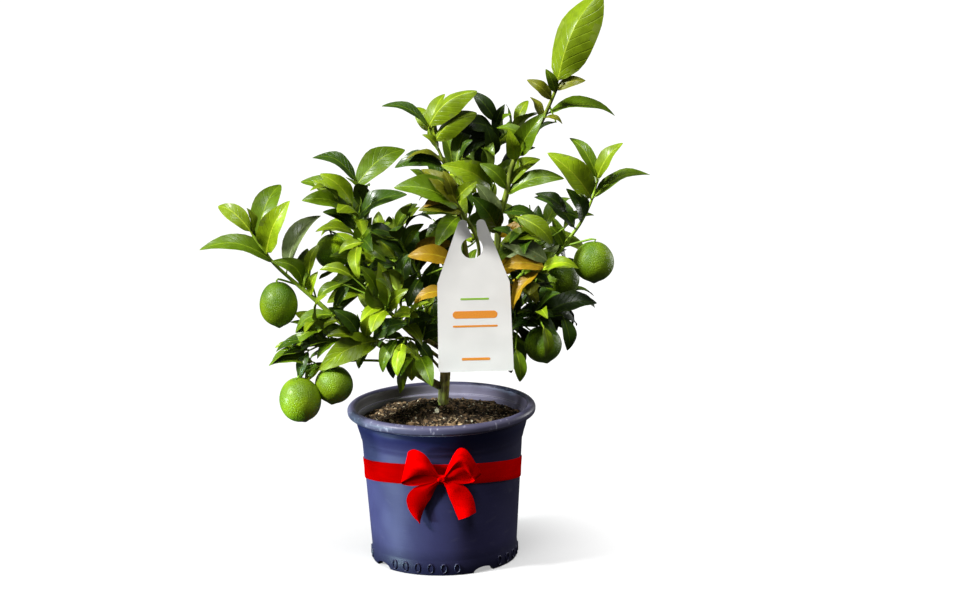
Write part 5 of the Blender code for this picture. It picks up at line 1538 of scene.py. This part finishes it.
def tone_of(mass, leaf, chance):
    """A leaf's own tone, or one by chance, with painted light and shade: a tone brighter towards the
    light, a tone darker on the far side.
    """
    if leaf.tone:
        return TONE_LETTERS[leaf.tone.lower()]
    order = list(TONES)
    tone = chance.choices(order, SPRAYS[mass.name])[0]
    # Painted light and shade by where the leaf sits in the crown.
    lit = (leaf.root - CROWN_MIDDLE).dot(LIGHT_SIDE)
    if tone in ("fresh", "mid", "dark") and chance.random() < abs(lit) * 4:
        tone = order[order.index(tone) + (-1 if lit > 0 else 1)]
    return tone


def make_leaves(masses):
    """Every leaf of the crown, joined by tone."""
    builders = {tone: Builder() for tone in TONES}
    faces = ring_faces(len(LEAF_STATIONS), 2 * len(LEAF_COLUMNS) - 2)
    slots = leaf_slots()
    for mass in masses:
        chance = random.Random(mass.name)
        ridges = random.Random(mass.name + " ridges")
        for leaf in mass.leaves:
            ridged = leaf.tone in ("u", "U") if leaf.tone else ridges.random() < RIDGED_SHARE
            points, uvs = leaf_rings(leaf, chance, ridged)
            builders[tone_of(mass, leaf, chance)].add(points, faces, slots, uvs)
    for tone, (upper, rib, under, gloss) in TONES.items():
        finishes = [
            leaf_upper(f"leaf_{tone}", upper, gloss),
            plain_green(f"rib_{tone}", rib, 0.45),
            leaf_under(f"under_{tone}", under),
        ]
        builders[tone].build(f"leaves_{tone}", finishes, "lime_foliage", FOLIAGE, 60)


def make_wood(limbs):
    """Trunk, boughs and stems as one joined mesh with bark relief."""
    wood = Builder()
    trunk = limbs["trunk"]
    points = trunk.route.spaced(46)
    points[0] = points[0] - UP * TRUNK_SUNK
    radii = [min(trunk.radius(distance), TRUNK_WIDEST) for distance in trunk.route.marks(46)]
    wood.add(tube_rings(points, radii, 24, 0.13), ring_faces(len(points), 24), 3)
    for name in LIMBS:
        limb = limbs[name]
        count = max(8, round(limb.route.length / 0.004))
        points = limb.route.spaced(count)
        stout = STOUT_STEMS.get(name, 1.0)
        radii = [limb.radius(distance) * stout for distance in limb.route.marks(count)]
        radii[-1] *= STEM_TIP
        old, olive = WOOD_SHARES.get(name, USUAL_WOOD_SHARES)
        slots = []
        for i in range(count):
            share = i / count
            slots += [0 if share < old else 1 if share < olive else 2] * 12
        slots += [0, 2]
        wood.add(tube_rings(points, radii, 12, 0.06), ring_faces(len(points), 12), slots)
    finishes = [
        bark_finish("bark_old", (0.014, 0.010, 0.005), (0.155, 0.125, 0.040), (0.20, 0.22, 0.02)),
        bark_finish("bark_olive", (0.050, 0.066, 0.010), (0.18, 0.23, 0.028), (0.24, 0.32, 0.03)),
        plain_green("stem_green", (0.22, 0.34, 0.025), 0.42),
        bark_finish("bark_trunk", (0.010, 0.008, 0.004), (0.19, 0.155, 0.050), (0.31, 0.33, 0.04), 150.0),
    ]
    nodes = ["trunk"] + [f"bough_{name}" for name in LIMBS]
    wood.build("trunk_and_boughs", finishes, "bark", nodes, 70)


def make_twigs(masses):
    """The side shoots, the twigs of single leaves and the fruit stalks."""
    twigs = Builder()
    for mass in masses:
        lines = [(line, TWIG_RADII) for line in mass.twigs]
        lines += [(Route(stalk), FRUIT_STALK_RADII) for _, _, _, stalk in mass.limes]
        for line, radii in lines:
            twigs.add(tube_rings(line.spaced(8), taper(9, *radii), 8, 0.05), ring_faces(9, 8))
    finishes = [plain_green("twig_green", (0.17, 0.29, 0.02), 0.45)]
    twigs.build("twigs", finishes, "lime_foliage", FOLIAGE, 60)


def lime_rings(centre, width, height, lean):
    """A lime: nearly round, drawn in a little at the stalk and out to a small nipple below."""
    points = []
    for row in range(LIME_RINGS):
        turn = math.pi * (0.004 + 0.992 * row / (LIME_RINGS - 1))
        below = math.pi - turn
        radius = width / 2 * math.sin(turn) * (1 - LIME_TAPER * math.cos(turn))
        level = height / 2 * math.cos(turn)
        level -= LIME_NIPPLE[0] * height * math.exp(-(below / LIME_NIPPLE[1]) ** 2)
        level -= LIME_DIMPLE[0] * height * math.exp(-(turn / LIME_DIMPLE[1]) ** 2)
        for angle in circle(LIME_SIDES):
            spot = polar(radius, angle, level)
            swell = 1 + LIME_SWELL * noise.noise(spot * 60 + centre * 40)
            points.append(centre + lean @ (spot * swell))
    return points


def make_limes(masses):
    """All the fruit, with a small green cap where each stalk meets it."""
    fruit = Builder()
    for mass in masses:
        for centre, width, height, _ in mass.limes:
            chance = random.Random(f"{mass.name} fruit {width}")
            turns = [math.radians(chance.uniform(-LIME_LEAN, LIME_LEAN)) for _ in range(2)]
            lean = Matrix.Rotation(turns[0], 3, "Y") @ Matrix.Rotation(turns[1], 3, "X")
            slot = LIME_SKINS.get(mass.name, 0)
            points = lime_rings(centre, width, height, lean)
            fruit.add(points, ring_faces(LIME_RINGS, LIME_SIDES), slot)
            fruit.add(*cap_shape(centre, height, lean), 2)
    finishes = [
        lime_skin("lime_skin_bright", (0.046, 0.108, 0.001), (0.170, 0.265, 0.002)),
        # Painted shade: a darker skin for fruit inside the crown.
        lime_skin("lime_skin_deep", (0.024, 0.070, 0.001), (0.075, 0.15, 0.002)),
        plain_green("lime_cap", (0.10, 0.17, 0.02), 0.6),
        # Painted light: a paler skin for a lime in the shade of leaves.
        lime_skin("lime_skin_pale", (0.12, 0.27, 0.003), (0.38, 0.58, 0.006)),
    ]
    nodes = [f"foliage_{mass.name}" for mass in masses if mass.limes]
    fruit.build("limes", finishes, "lime_foliage", nodes, 60)


def cap_shape(centre, height, lean):
    """A five-lobed cap on top of a lime."""
    points = []
    for level, reach in CAP_RINGS:
        for angle in circle(20):
            lobe = 1 + 0.28 * math.cos(5 * angle) * (reach > 0.002)
            points.append(centre + lean @ polar(reach * lobe, angle, height * CAP_LEVEL + level))
    return points, ring_faces(3, 20)


def wall_radius(height):
    """The pot's outer radius on the straight part of its wall."""
    slope = (WALL_TOP_RADIUS - WALL_FOOT_RADIUS) / (NECK_FOOT_Z - WALL_FOOT_Z)
    return WALL_FOOT_RADIUS + slope * (height - WALL_FOOT_Z)


def rounded(corners, steps):
    """A profile of (radius, height, rounding) corners, each rounded off in this many steps."""
    points = []
    for before, corner, after in zip(corners, corners[1:], corners[2:]):
        here = Vector(corner[:2])
        back = Vector(before[:2]) - here
        on = Vector(after[:2]) - here
        reach = min(corner[2], back.length * 0.45, on.length * 0.45)
        if reach <= 0:
            points.append(tuple(here))
            continue
        start = here + back.normalized() * reach
        end = here + on.normalized() * reach
        for step in range(steps + 1):
            share = step / steps
            points.append(tuple(
                start * (1 - share) ** 2 + here * 2 * share * (1 - share) + end * share ** 2
            ))
    return [tuple(corners[0][:2])] + points + [tuple(corners[-1][:2])]


def turned(profile, steps):
    """Rings round the Z axis; the first and last points lie on it."""
    points = [(0.0, 0.0, profile[0][1])]
    for radius, height in profile[1:-1]:
        points += [polar(radius, angle, height) for angle in circle(steps)]
    points.append((0.0, 0.0, profile[-1][1]))
    return points, turned_faces(len(profile) - 2, steps)


def pot_profile():
    """The filled pot's skin from the middle of its inner floor over the rim to its underside."""
    inner = RIM_RADIUS - RIM_WIDTH
    low = POT_HEIGHT - RIM_HEIGHT
    floor = CHANNEL_DEPTH + POT_WALL
    mm = 0.001
    return rounded([
        (0.0, POT_WALL, 0), (CHANNEL_INNER - POT_WALL, POT_WALL, 0),
        (CHANNEL_INNER - POT_WALL, floor, 0), (wall_radius(floor) - POT_WALL, floor, 0),
        (WALL_TOP_RADIUS - POT_WALL, NECK_FOOT_Z, 0), (0.0930, 0.1585, 2 * mm),
        (0.0948, 0.1600, 0.5 * mm), (0.0954, 0.1655, 1 * mm), (0.0972, 0.1668, 0.5 * mm),
        (inner, low + 1.5 * mm, 1 * mm), (inner + 0.4 * mm, POT_HEIGHT - 2.4 * mm, 1.5 * mm),
        (inner + 2.6 * mm, POT_HEIGHT, 2.4 * mm), (RIM_RADIUS - 3.2 * mm, POT_HEIGHT, 3 * mm),
        (RIM_RADIUS, POT_HEIGHT - 3.6 * mm, 3 * mm), (RIM_RADIUS - 0.4 * mm, low + 2 * mm, 1.5 * mm),
        (RIM_RADIUS - 2.6 * mm, low, 1.2 * mm), (NECK_RADIUS + 2 * mm, low - 0.6 * mm, 1 * mm),
        (NECK_RADIUS + 0.4 * mm, low - 2.6 * mm, 1.2 * mm), (NECK_RADIUS, 0.159, 4 * mm),
        (WALL_TOP_RADIUS + 2.2 * mm, 0.1470, 1 * mm), (WALL_TOP_RADIUS + 1.8 * mm, 0.1445, 0.8 * mm),
        (WALL_TOP_RADIUS + 0.2 * mm, NECK_FOOT_Z, 3 * mm), (WALL_FOOT_RADIUS, WALL_FOOT_Z, 1 * mm),
        (POT_FOOT_RADIUS, 0.0080, 2 * mm), (POT_FOOT_RADIUS - 0.6 * mm, 0.0, 1.4 * mm),
        (CHANNEL_OUTER, 0.0, 0.6 * mm), (CHANNEL_OUTER, CHANNEL_DEPTH, 0),
        (CHANNEL_INNER, CHANNEL_DEPTH, 0), (CHANNEL_INNER, 0.0, 0.6 * mm), (0.0, 0.0, 0),
    ], 4)


def arch_cutter(angle):
    """An oval bar that points out from the pot's middle."""
    shape = bmesh.new()
    bmesh.ops.create_cone(shape, cap_ends=True, segments=48, radius1=1.0, radius2=1.0, depth=1.0)
    size = Matrix.Diagonal((ARCH_HALF_WIDTH, ARCH_HEIGHT, ARCH_DEPTH, 1.0))
    lay = Matrix.Rotation(math.radians(90), 4, "X")
    radius = (CHANNEL_OUTER + POT_FOOT_RADIUS) / 2
    put = Matrix.Translation((radius * math.sin(angle), -radius * math.cos(angle), 0.0))
    turn = Matrix.Rotation(angle, 4, "Z")
    bmesh.ops.transform(shape, matrix=put @ turn @ lay @ size, verts=shape.verts)
    return add_to_scene("arch", packed("arch", shape))


def cut_arches(thing):
    """Cuts the drain arches under the foot; the cutters are removed once the cut is applied."""
    cutters = [
        arch_cutter(ARCH_FIRST + number * 2 * math.pi / ARCH_COUNT) for number in range(ARCH_COUNT)]
    for bar in cutters:
        change = thing.modifiers.new("arch", "BOOLEAN")
        change.object = bar
        change.solver = "EXACT"
    mesh = final_mesh(thing)
    thing.modifiers.clear()
    for bar in cutters:
        bpy.data.objects.remove(bar)
    thing.data = mesh
    mesh.shade_smooth()
    mesh.set_sharp_from_angle(angle=math.radians(POT_SHARP))


def pot_rings():
    """Raised oval rings in rows round the foot of the wall."""
    rings = Builder()
    steps = 28
    sides = 8
    for row in range(ARCH_COUNT):
        for number in range(RING_COUNT):
            middle = RING_FIRST + number * RING_STEP + row * math.pi / 2
            line = []
            for turn in circle(steps):
                angle = middle + RING_HALF_WIDTH * math.cos(turn) / POT_FOOT_RADIUS
                out = outward(angle)
                height = RING_Z + RING_HALF_HEIGHT * math.sin(turn)
                line.append((out, out * (POT_FOOT_RADIUS - 0.0001) + UP * height))
            points = []
            for index, (out, here) in enumerate(line):
                heading = (line[(index + 1) % steps][1] - line[index - 1][1]).normalized()
                across = heading.cross(out).normalized()
                for turn in circle(sides):
                    off = out * RING_BULGE * math.sin(turn)
                    points.append(here + off + across * RING_HALF_LINE * math.cos(turn))
            rings.add(points, ring_faces(steps, sides, closed=True))
    return rings


def faces_inwards(points, face):
    """Whether a face of the pot is on the inside of the wall, above the soil."""
    middle = sum((Vector(points[index]) for index in face), Vector()) / len(face)
    radius = math.hypot(middle.x, middle.y)
    reach = INSIDE_RADII[0] if middle.z < INSIDE_STEP_Z else INSIDE_RADII[1]
    return INSIDE_HEIGHTS[0] < middle.z < INSIDE_HEIGHTS[1] and radius < reach


def inside_finish():
    """The duller inside of the pot, with dust: painted shade on the grey left, painted light on the
    lighter, bluer right, and a painted highlight along its ledge.
    """
    left, right = INSIDE_LEFT_PAINTED_SHADE, INSIDE_RIGHT_PAINTED_LIGHT
    finish = Finish("grey_plastic_inside", left, 0.50, 0.20)
    bloom = finish.patches(18.0, 0.35, 0.75, 4.0)
    dust = finish.patches(70.0, 0.55, 0.80, 5.0, (1.0, 1.0, 3.0))
    # Painted light and shade: grey on the shaded left, lighter and bluer on the lit right.
    side = finish.spread(finish.axis("X"), -0.05, 0.07)
    base = finish.mix(bloom, finish.mix(side, shade(left, 0.8), shade(right, 0.8)),
                      finish.mix(side, shade(left, 1.3), shade(right, 1.3)))
    base = finish.tint(base, (0.30, 0.28, 0.30), dust, 0.25)
    # A pale painted highlight along the ledge.
    ledge = finish.spread(finish.off(finish.axis("Z"), LEDGE_Z), 0.0010, 0.0003, 0.0, 0.8)
    finish.colour(finish.mix(ledge, base, INSIDE_LEDGE_PAINTED_HIGHLIGHT))
    finish.bump(finish.noise(300.0, 3.0, (0.3, 0.3, 3.0)), 0.0002, 0.6)
    return finish.material


def pot_finish():
    """Moulded plastic: fine grain, faint turning lines, a dull bloom, a painted shadow under the rim,
    painted shade at the foot, and a lighter rim of dust and painted sheen with specks of scuffs and
    painted glints.
    """
    finish = Finish("navy_plastic_pot", POT_COLOUR, 0.42, 0.22)
    bloom = finish.patches(14.0, 0.35, 0.75, 4.0)
    base = finish.mix(bloom, shade(POT_COLOUR, 0.82), shade(POT_COLOUR, 1.25))
    dust = finish.patches(55.0, 0.62, 0.80, 5.0, (1.0, 1.0, 2.6))
    base = finish.tint(base, (0.20, 0.19, 0.22), dust, 0.10)
    level = finish.axis("Z")
    # Painted shadow: the wall turns deep navy under the rim, where the rim's shade falls.
    base = finish.mix(finish.spread(level, 0.142, 0.159), base, POT_RIM_PAINTED_SHADOW)
    # Painted shade: the wall turns darker towards the foot, by the floor.
    base = finish.mix(finish.spread(level, 0.030, 0.009), base, POT_FOOT)
    # The rim: lighter greys that are part dust and part painted sheen, with pale specks that are part
    # scuffs and part painted glints.
    low = POT_HEIGHT - RIM_HEIGHT
    high = finish.spread(level, low - 0.002, low + 0.001)
    scuffs_and_glints = finish.spread(finish.noise(190.0, 6.0, (1.0, 1.0, 0.5)), 0.61, 0.72, 0.0, 0.7)
    rim = finish.mix(scuffs_and_glints, finish.mix(bloom, RIM_DARK, RIM_LIGHT), (0.30, 0.29, 0.36))
    finish.colour(finish.mix(high, base, rim))
    finish.roughness(finish.spread(finish.noise(30.0, 4.0), 0.3, 0.7, 0.34, 0.50))
    lines = finish.noise(60.0, 2.0, (0.05, 0.05, 9.0))
    grain = finish.math("MULTIPLY", finish.noise(900.0, 2.0), 0.35)
    finish.bump(finish.math("ADD", lines, grain), 0.0002, 0.5)
    return finish.material


def make_pot():
    pot = Builder()
    points, faces = turned(pot_profile(), 180)
    pot.add(points, faces, [int(faces_inwards(points, face)) for face in faces])
    finish = pot_finish()
    thing = pot.build("pot_body", [finish, inside_finish()], "navy_plastic", ["pot"], POT_SHARP)
    cut_arches(thing)
    pot_rings().build("pot_foot_rings", [finish], "navy_plastic", ["pot"], 60)


def soil_height(radius):
    """The mound's height by the distance from its middle."""
    edge = NECK_RADIUS - POT_WALL - GAP
    share = min(radius / edge, 1.0)
    return SOIL_EDGE_Z + (SOIL_CREST_Z - SOIL_EDGE_Z) * (1 - share ** 1.25) * (1 - 0.15 * share)


def soil_point(x, y):
    height = soil_height(math.hypot(x, y))
    spot = Vector((x, y, 0.0))
    rough = noise.fractal(spot * 70, 1.0, 2.0, 4) * 0.0036 + noise.noise(spot * 300) * 0.0013
    fade = min(1.0, max(0.0, (SOIL_ROUGH_RADIUS - math.hypot(x, y)) / SOIL_ROUGH_FADE))
    return Vector((x, y, height + rough * fade))


def soil_finish():
    """Damp peat: dark and light crumbs with pale flecks."""
    finish = Finish("damp_peat", (0.035, 0.022, 0.013), 0.95, 0.15)
    crumbs = finish.patches(420.0, 0.40, 0.68, 5.0)
    base = finish.mix(crumbs, (0.007, 0.005, 0.003), (0.100, 0.067, 0.036))
    flecks = finish.spread(finish.cells(520.0), 0.05, 0.16, 1.0, 0.0)
    finish.colour(finish.tint(base, (0.26, 0.20, 0.12), flecks, 0.35))
    finish.bump(finish.noise(700.0, 4.0), 0.0012, 0.9)
    return finish.material


def make_soil():
    """The mound as a rough sheet with depth."""
    ground = Builder()
    steps, rings = 160, 46
    edge = NECK_RADIUS - POT_WALL - 0.0004
    points = [soil_point(0.0, 0.0)]
    for ring in range(1, rings + 1):
        radius = edge * ring / rings
        for angle in circle(steps):
            points.append(soil_point(radius * math.cos(angle), radius * math.sin(angle)))
    points += [polar(edge, angle, SOIL_UNDER_Z) for angle in circle(steps)]
    points.append(UP * SOIL_UNDER_Z)
    ground.add(points, turned_faces(rings + 1, steps))
    ground.build("soil_mound", [soil_finish()], "potting_mix", ["soil"], 80)


def make_chips():
    """Loose bits on the soil: small knobbly lumps, more of them dark than light."""
    chance = random.Random(5)
    shape = bmesh.new()
    bmesh.ops.create_icosphere(shape, subdivisions=1, radius=1.0)
    ball, faces = unpacked(shape)
    for name, (count, small, large, flat, colour) in CHIPS.items():
        lumps = Builder()
        seen = CHIPS_SEEN.get(name, ())
        for number in range(count + len(seen)):
            radius = CHIPS_REACH * math.sqrt(chance.random())
            angle = chance.uniform(0, 2 * math.pi)
            length = small + (large - small) * chance.random() ** 2.2
            place = soil_point(radius * math.cos(angle), radius * math.sin(angle))
            if number >= count:
                x, y, length = seen[number - count]
                place = soil_point(x, y) + UP * (length * 0.25)
            wide = length * chance.uniform(0.4, 0.9)
            size = Vector((length, wide, length * flat * chance.uniform(0.5, 1.0)))
            turn = Matrix.Rotation(chance.uniform(0, 2 * math.pi), 3, "Z")
            turn = turn @ Matrix.Rotation(chance.uniform(-0.6, 0.6), 3, "X")
            turn = turn @ Matrix.Rotation(chance.uniform(-0.5, 0.5), 3, "Y")
            points = []
            for spot in ball:
                knob = 1 + chance.uniform(-0.28, 0.22)
                points.append(place + turn @ Vector(a * b * knob for a, b in zip(spot, size)))
            lumps.add(points, faces)
        finish = Finish(f"chip_{name}", colour, 0.9, 0.2)
        finish.mottle(colour, 500.0, 0.55, 1.45)
        finish.bump(finish.noise(1400.0, 2.0), 0.0004, 0.7)
        lumps.build(f"soil_{name}", [finish.material], "potting_mix", ["soil"], 35)


def satin(name, sides):
    """Satin ribbon: a fine weave and slightly uneven colour, lighter towards the right as painted light.
    """
    left, right = sides
    finish = Finish(name, left, 0.45, 0.0)
    streak = finish.patches(40.0, 0.32, 0.70, stretch=(0.4, 0.4, 2.4))
    # Painted light: the red runs from the darker left to the lighter right.
    side = finish.spread(finish.axis("X"), -0.05, 0.075)
    dark = finish.mix(side, shade(left, 0.78), shade(right, 0.78))
    finish.colour(finish.mix(streak, dark, finish.mix(side, left, right)))
    weave = finish.node("TexWave", Vector=finish.place(), Scale=900.0, Distortion=1.5)
    finish.bump(weave.outputs["Fac"], 0.0001, 0.25)
    return finish.material


def make_band(finish):
    """The ribbon round the pot, slightly wavy, with both edges turned in."""
    band = Builder()
    steps = 200
    points = []
    for angle in circle(steps):
        out = outward(angle)
        middle = BAND_Z + BAND_RISE - BAND_RISE_FRONT * out.y - BAND_RISE_SIDE * out.x
        for level, depth in BAND_SECTION:
            height = middle + level * BAND_WIDTH * BAND_HALF_SHARE
            ripple = BAND_RIPPLE * noise.noise(Vector((out.x * 5, out.y * 5, level * 0.8)))
            radius = wall_radius(height) + GAP + BAND_THICK * depth + (ripple if depth > 0.5 else 0)
            points.append(out * radius + UP * height)
    band.add(points, ring_faces(steps, len(BAND_SECTION), closed=True))
    band.build("ribbon_round_pot", [finish], "red_satin", ["ribbon_band"], 50)


def bow_place(spot):
    """From millimetres off the knot to the part's frame, on the lean of the pot's wall."""
    across, out, up = (value / 1000 for value in spot)
    y = LOOP_BACK_Y - out - math.tan(LOOP_LEAN) * up
    return Vector((KNOT_CENTRE[0] + across, y, KNOT_CENTRE[2] + up))


def sheet_bulge(share, across, bulge, crease, loop):
    """How far a sheet of the bow stands out, this far along it and across it."""
    full = math.sin(math.pi * across)
    if loop:
        off_across, off_along = (across - DENT[0]) / DENT[1], (share - DENT[2]) / DENT[3]
        arch = bulge * full * math.sin(math.pi * min(share * 2, 1.0)) ** 0.8
        arch -= crease * math.exp(-off_across ** 2 - off_along ** 2)
    else:
        arch = bulge * full * min(1.0, 0.25 + 2.2 * share) * (0.75 + 0.25 * math.cos(6.0 * share))
    pleat = math.sin(2 * math.pi * 2.6 * across + 1.1) * full * math.exp(-10.0 * share)
    return arch + crease * pleat


def bow_sheet(name, edges, finish, node, bulge, crease, loop):
    """A sheet of ribbon between two edge lines, puffed out, with short creases next to the knot."""
    low, high = (Route([bow_place(spot) for spot in edge]) for edge in edges)
    rows, columns = 72, 18
    points = []
    for row, (start, end) in enumerate(zip(low.spaced(rows), high.spaced(rows))):
        for column in range(columns + 1):
            across = column / columns
            spot = start.lerp(end, across)
            spot.y -= sheet_bulge(row / rows, across, bulge, crease, loop)
            points.append(spot)
    faces = []
    wide = columns + 1
    for row in range(rows):
        for first in range(row * wide, row * wide + columns):
            faces.append((first, first + 1, first + wide + 1, first + wide))
    mesh = bpy.data.meshes.new(name)
    mesh.from_pydata(points, [], faces)
    mesh.materials.append(finish)
    mesh.shade_smooth()
    thing = add_to_scene(name, mesh)
    thick = thing.modifiers.new("thick", "SOLIDIFY")
    thick.thickness = SHEET_THICK
    thick.offset = 0.0
    solid = final_mesh(thing)
    solid.name = name
    bpy.data.objects.remove(thing)
    solid.set_sharp_from_angle(angle=math.radians(60))
    settle(solid, [node])


def make_knot(finish):
    """The knot: a short wrap of ribbon, pinched in the middle with creases across it."""
    knot = Builder()
    rings, sides = 18, 36
    points = []
    for ring in range(rings + 1):
        across = -1 + 2 * ring / rings
        pinch = (1 - abs(across) ** 6) ** 0.5 * (0.92 + 0.08 * across ** 2)
        for turn in circle(sides):
            crease = 1 + 0.07 * math.sin(3 * turn + 2.2 * across) * (1 - across ** 2)
            y = math.copysign(abs(math.cos(turn)) ** 0.8, math.cos(turn)) * KNOT_SIZE[1] / 2
            z = math.copysign(abs(math.sin(turn)) ** 0.8, math.sin(turn)) * KNOT_SIZE[2] / 2
            x = across * KNOT_SIZE[0] / 2
            points.append(Vector(KNOT_CENTRE) + Vector((x, y * pinch * crease, z * pinch * crease)))
    knot.add(points, ring_faces(rings + 1, sides))
    knot.build("bow_middle", [finish], "red_satin", ["bow_knot"], 60)


def make_bow():
    make_band(satin("red_satin_band", SATIN_BAND))
    finish = satin("red_satin_ribbon", SATIN)
    # The left tail's darker red is painted shade.
    shaded = satin("red_satin_shaded", SATIN_PAINTED_SHADE)
    make_knot(finish)
    loop = {"bulge": LOOP_BULGE, "crease": LOOP_CREASE, "loop": True}
    bow_sheet("bow_left_loop", LEFT_LOOP, finish, "bow_loop_left", **loop)
    bow_sheet("bow_right_loop", RIGHT_LOOP, finish, "bow_loop_right", **loop)
    tail = {"bulge": TAIL_BULGE, "loop": False}
    bow_sheet("bow_left_tail", LEFT_TAIL, shaded, "bow_tail_left", crease=LEFT_TAIL_CREASE, **tail)
    bow_sheet("bow_right_tail", RIGHT_TAIL, finish, "bow_tail_right", crease=RIGHT_TAIL_CREASE, **tail)


def card_finish():
    """Matt card, faintly clouded and uneven."""
    finish = Finish("white_card_stock", CARD_COLOUR, 0.50, 0.2)
    finish.colour(finish.mix(finish.patches(22.0, 0.3, 0.7), *CARD_CLOUDS))
    grain = finish.math("MULTIPLY", finish.noise(900.0, 2.0), 0.04)
    finish.bump(finish.math("ADD", finish.noise(26.0, 1.0), grain), 0.0016, 0.5)
    return finish.material


def make_tag():
    """Plain white card with a few printed bars; the print is thin inlays on its front."""
    thing = add_to_scene("tag_flat", flat_curve(tag_outline(16, 60), TAG_THICK))
    thing.location = (0.0, TAG_Y, 0.0)
    thing.rotation_euler = (math.radians(90), 0.0, 0.0)
    mesh = final_mesh(thing)
    mesh.transform(thing.matrix_world)
    mesh.name = "tag_card"
    bpy.data.objects.remove(thing)
    mesh.materials.clear()
    mesh.materials.append(card_finish())
    settle(mesh, ["tag"])
    inks = []
    for name, colour in TAG_INKS.items():
        ink = Finish(name, colour, 0.5, 0.2)
        ink.mottle(colour, 900.0, 0.9, 1.1, 2.0)
        inks.append(ink.material)
    middle = sum(TAG_BOTTOM_X) / 2
    marks = Builder()
    for bottom, tall, half, slot in TAG_BARS:
        marks.add(*bar_shape(middle, bottom, tall, half), slot)
    marks.build("tag_print", inks, "white_card", ["tag"], 40)


def bar_shape(middle, bottom, tall, half):
    """A thin bar with rounded ends, just proud of the card's front."""
    radius = tall / 2
    level = bottom + radius
    right = arc((middle + half - radius, level), radius, -math.pi / 2, math.pi / 2, 10)
    left = arc((middle - half + radius, level), radius, math.pi / 2, 3 * math.pi / 2, 10)
    outline = right + left
    front = TAG_Y - TAG_THICK / 2 - PRINT_PROUD
    back = TAG_Y - TAG_THICK / 2 + PRINT_SUNK
    points = [(x, front, z) for x, z in outline] + [(x, back, z) for x, z in outline]
    return points, ring_faces(2, len(outline))


def make_floor():
    """A pale floor with a painted shadow: by the pot its glow is lower, and away from the pot its own
    colour fades and its glow grows.
    """
    shape = bmesh.new()
    bmesh.ops.create_circle(shape, cap_ends=True, segments=96, radius=FLOOR_RADIUS)
    mesh = packed("floor", shape)
    floor = add_to_scene("floor", mesh)
    floor.location = (0.0, 0.0, -FLOOR_DROP)
    floor.visible_diffuse = False
    floor.visible_glossy = False
    finish = Finish("pale_floor", FLOOR_NEAR, 0.9, 0.0)
    reach = finish.node("VectorMath", Vector=finish.place())
    reach.operation = "LENGTH"
    away = finish.spread(reach.outputs["Value"], *FLOOR_FADE)
    finish.colour(finish.mix(away, FLOOR_NEAR, FLOOR_FAR))
    # Painted shadow: the glow is lower by the pot, so the floor darkens round its foot.
    finish.feed(finish.shader.inputs["Emission Color"], finish.mix(away, GLOW_NEAR_PAINTED_SHADOW, GLOW_FAR))
    finish.shader.inputs["Emission Strength"].default_value = 1.0
    mesh.materials.append(finish.material)


def make_lights():
    """A soft key light from the upper left, one from above, and small ones on the pot's two sides."""
    for name, kind, energy, size, place, aim in LIGHTS:
        light = bpy.data.lights.new(name, kind)
        light.energy = energy
        if kind == "SUN":
            light.angle = math.radians(size)
        elif kind == "SPOT":
            light.shadow_soft_size = size
            light.spot_size = SPOT_CONE
            light.color = SPOT_COLOUR
            light.spot_blend = SPOT_BLEND
        else:
            light.shape = "DISK"
            light.size = size
        lamp = add_to_scene(name, light)
        lamp.location = place
        lamp.rotation_euler = (Vector(aim) - Vector(place)).to_track_quat("-Z", "Y").to_euler()


def make_world():
    """Dark below the horizon, brightest just above it and greyer overhead, by direction only."""
    world = bpy.data.worlds.new("studio")
    world.use_nodes = True
    tree = world.node_tree
    place = tree.nodes.new("ShaderNodeTexCoord")
    parts = tree.nodes.new("ShaderNodeSeparateXYZ")
    ramp = tree.nodes.new("ShaderNodeValToRGB")
    tree.links.new(place.outputs["Generated"], parts.inputs["Vector"])
    tree.links.new(parts.outputs["Z"], ramp.inputs["Fac"])
    tree.links.new(ramp.outputs["Color"], tree.nodes["Background"].inputs["Color"])
    stops = ramp.color_ramp.elements
    stops.new(WORLD_GREYS[1][0])
    for stop, (height, grey) in zip(stops, WORLD_GREYS):
        stop.position = height
        stop.color = (grey, grey, grey, 1.0)
    bpy.context.scene.world = world


def make_camera():
    place = Vector(CAMERA_PLACE)
    forward = (Vector(CAMERA_AIM) - place).normalized()
    level = forward.cross(UP).normalized()
    turn = Matrix.Rotation(CAMERA_ROLL, 3, forward)
    right = turn @ level
    up = right.cross(forward)
    matrix = Matrix((right, up, -forward)).transposed().to_4x4()
    matrix.translation = place
    camera = bpy.data.cameras.new("camera")
    camera.sensor_width = CAMERA_SENSOR
    camera.lens = CAMERA_LENS
    camera.clip_end = CAMERA_REACH
    thing = add_to_scene("camera", camera)
    thing.matrix_world = matrix
    bpy.context.scene.camera = thing


def main():
    make_camera()
    make_floor()
    make_lights()
    make_world()
    bpy.context.scene.view_settings.view_transform = "Standard"
    bpy.context.scene.view_settings.look = "None"
    limbs = make_limbs()
    masses = grow_masses(limbs)
    make_leaves(masses)
    make_wood(limbs)
    make_twigs(masses)
    make_limes(masses)
    make_soil()
    make_chips()
    make_pot()
    make_bow()
    make_tag()


main()
